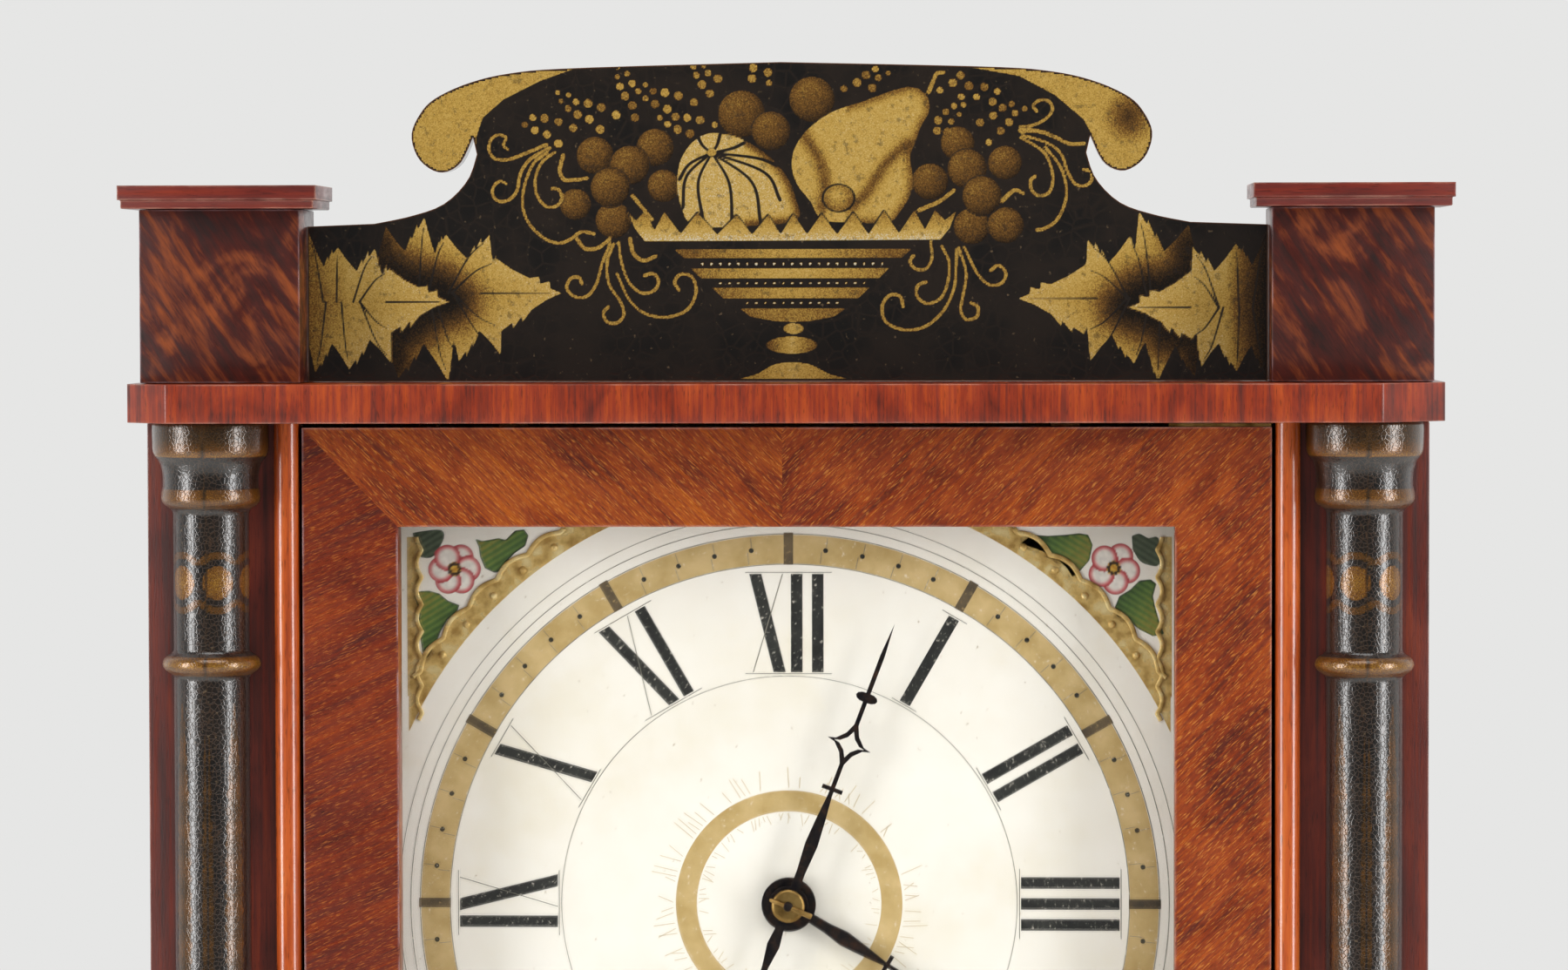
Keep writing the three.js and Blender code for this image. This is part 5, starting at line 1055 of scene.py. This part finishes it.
open_x, open_z = 128.6, 128.2
field_circle, bead_circle, scallop_circle = 141.0, 144.1, 147.2
for name, (fx, fz, petals, unit, origin, leaf_a, leaf_b, patch) in corners.items():
    for level in (1, -1):
        label = name + ("_upper" if level > 0 else "_lower")
        side = 1 if name == "right" else -1
        gx, gz = np.meshgrid(np.arange(78, 128.2, 0.45) * side, np.arange(78, 128.0, 0.45))
        art = Painting(gx, gz)
        to_mm = lambda ring: [(fx + (cx - origin[0]) * unit, fz - (cy - origin[1]) * unit)
                              for cx, cy in ring]
        hatch = 0.5 + 0.5 * np.sin((gx * 0.8 + gz * 1.3 * side) * 2.1)
        art.dab(depth(gx, gz, smooth(to_mm(patch), 3)), ("#3c4a37", "#5d6a52"), hatch * 0.8)
        for outline in (leaf_a, leaf_b):
            ring = to_mm(outline)
            shape = depth(gx, gz, ring)
            centre = np.mean(ring, axis=0)
            lean = np.clip(0.5 + ((gx - centre[0]) * 0.06 - (gz - centre[1]) * 0.05) * side, 0, 1)
            amount = np.clip(0.15 + 0.45 * lean + 0.25 * hatch - 0.5 * (shape < 0.4), 0, 1)
            art.dab(shape, ("#22331c", "#3f5f2b", "#5f7d37", "#8a8a3a", "#8f6f38"), amount)
        for k in range(petals):
            spin = k * 2 * math.pi / petals + 0.5
            px_, pz_ = fx + 4.6 * math.sin(spin), fz + 4.6 * math.cos(spin)
            shape = disc(gx, gz, px_, pz_, 4.3)
            art.dab(shape, ("#b5343a", "#d0676a", "#e3a7a2", "#efe4da", "#f2ece2"),
                    np.clip(shape / 2.2, 0, 1))
        art.dab(disc(gx, gz, fx, fz, 2.2), ("#c98f22", "#e8bd4a"), hatch)
        for k in range(9):
            art.dab(disc(gx, gz, fx + 1.8 * math.sin(k * 0.7), fz + 1.8 * math.cos(k * 0.7), 0.4),
                    ("#3a2614", "#3a2614"), hatch)
        keep = art.edge > -0.9
        whole = keep[:-1, :-1] | keep[1:, :-1] | keep[:-1, 1:] | keep[1:, 1:]
        flower = sheet("corner_flower_" + label,
                       np.stack([gx, np.full(gx.shape, dial_face - 0.05), gz * level + dial_z],
                                -1), whole,
                       {"edge": np.clip(art.edge, -3, 3), "paint": art.colour}, side * level < 0)
        flower.data.materials.append(corner_paint)
        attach(flower, "case")

        angles = np.linspace(24.2, 65.6, 220)
        scallop = scallop_circle + 1.9 * np.abs(np.sin(np.radians(angles * 36 / 1.05)))
        turned_by = np.radians(angles)
        reach = np.minimum(128.6 / np.sin(turned_by), 128.3 / np.cos(turned_by))
        sweep = np.stack([np.sin(turned_by) * side, np.cos(turned_by)], -1)
        least = field_circle + 0.05
        outer = np.clip(scallop, least, np.maximum(reach, least))[:, None] * sweep
        inner = field_circle * sweep
        arc = scallop[:, None] * sweep
        inside_arc = (np.abs(arc[:, 0]) < open_x - 1) & (arc[:, 1] < open_z - 1)
        arc = arc[inside_arc]
        place_z = lambda p: (p[0], dial_z + level * p[1])
        field = [([place_z(inner[k]), place_z(outer[k]), place_z(outer[k + 1]),
                   place_z(inner[k + 1])], 0) for k in range(len(outer) - 1)]
        slab("gilt_field_" + label, field, dial_face - 0.05, dial_face, [gesso], "case")
        cord_mesh("gesso_border_" + label, [place_z(p) for p in arc], 0.85, gesso, "case")
        upright = np.linspace(62, 124, 240)
        wave = 124.9 + 1.7 * np.abs(np.sin(upright * math.pi / 9.2)) - 0.8
        edge_path = np.stack([wave * side, upright], -1)
        cord_mesh("gesso_edge_" + label, [place_z(p) for p in edge_path], 0.8, gesso, "case")
        strip = [(place_z(p), place_z((129.0 * side, p[1]))) for p in edge_path[upright > 70]]
        slab("gilt_edge_" + label, [([a, b, d, c], 0) for (a, b), (c, d) in zip(strip, strip[1:])],
             dial_face - 0.03, dial_face, [gesso], "case")
        beads = [place_z((bead_circle * math.sin(degrees) * side,
                          bead_circle * math.cos(degrees)))
                 for degrees in np.radians(np.arange(33.3, 58, 5.25))]
        rise = np.linspace(0, 1.45, 6)
        spin = np.linspace(0, 2 * math.pi, 14, endpoint=False)
        for k, (bx, bz) in enumerate(beads):
            dome = np.stack([bx + 1.35 * np.cos(rise)[:, None] * np.sin(spin),
                             np.repeat((dial_face - 0.05 - 1.1 * np.sin(rise))[:, None], 14, 1),
                             bz + 1.35 * np.cos(rise)[:, None] * np.cos(spin)], -1) / 1000
            bead = grid_mesh("gesso_bead_%s_%d" % (label, k), dome[:, ::-1], close_u=True,
                             caps=True)
            bead.data.materials.append(gesso)
            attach(bead, "case")


# Hand fastening: the polished steel end of the centre arbor stands through a brass washer, and a
# brass taper pin driven through it holds the hands on.
def turned_piece(name, start, end, stations, radii, surface, body):
    """A round piece along the line from start to end, in millimetres: at each station, a part of
    its length, the radius beside it."""
    start, end = np.array(start, float), np.array(end, float)
    axis = (end - start) / np.linalg.norm(end - start)
    side = np.cross(axis, (0.1, 0.2, 1.0))
    side /= np.linalg.norm(side)
    other = np.cross(axis, side)
    spin = np.linspace(0, 2 * math.pi, 24, endpoint=False)[:, None]
    circle = np.cos(spin) * side + np.sin(spin) * other
    points = np.stack([start + (end - start) * part + circle * radius
                       for part, radius in zip(stations, radii)]) / 1000
    made = grid_mesh(name, points, close_u=True, caps=True)
    made.data.materials.append(surface)
    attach(made, body)
    return made


pin_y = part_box("centre_wheel")[0][1] * 1000 + 1.1
turned_piece("arbor_end", (0, pin_y + 2.4, dial_z), (0, pin_y - 1.15, dial_z),
             (0, 0.8, 0.93, 1), (1.62, 1.62, 1.5, 1.2), steel, "centre_wheel")
turned_piece("taper_pin", (8.0, pin_y - 0.5, dial_z - 3.4), (-6.2, pin_y - 0.2, dial_z + 2.4),
             (0, 0.03, 0.97, 1), (0.7, 0.95, 0.6, 0.3), old_brass, "centre_wheel")
washer_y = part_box("minute_cannon")[0][1] * 1000
turned_piece("hand_washer", (0, washer_y, dial_z), (0, washer_y - 0.7, dial_z),
             (0, 0.4, 0.85, 1), (5.6, 5.6, 4.9, 4.2), old_brass, "minute_cannon")
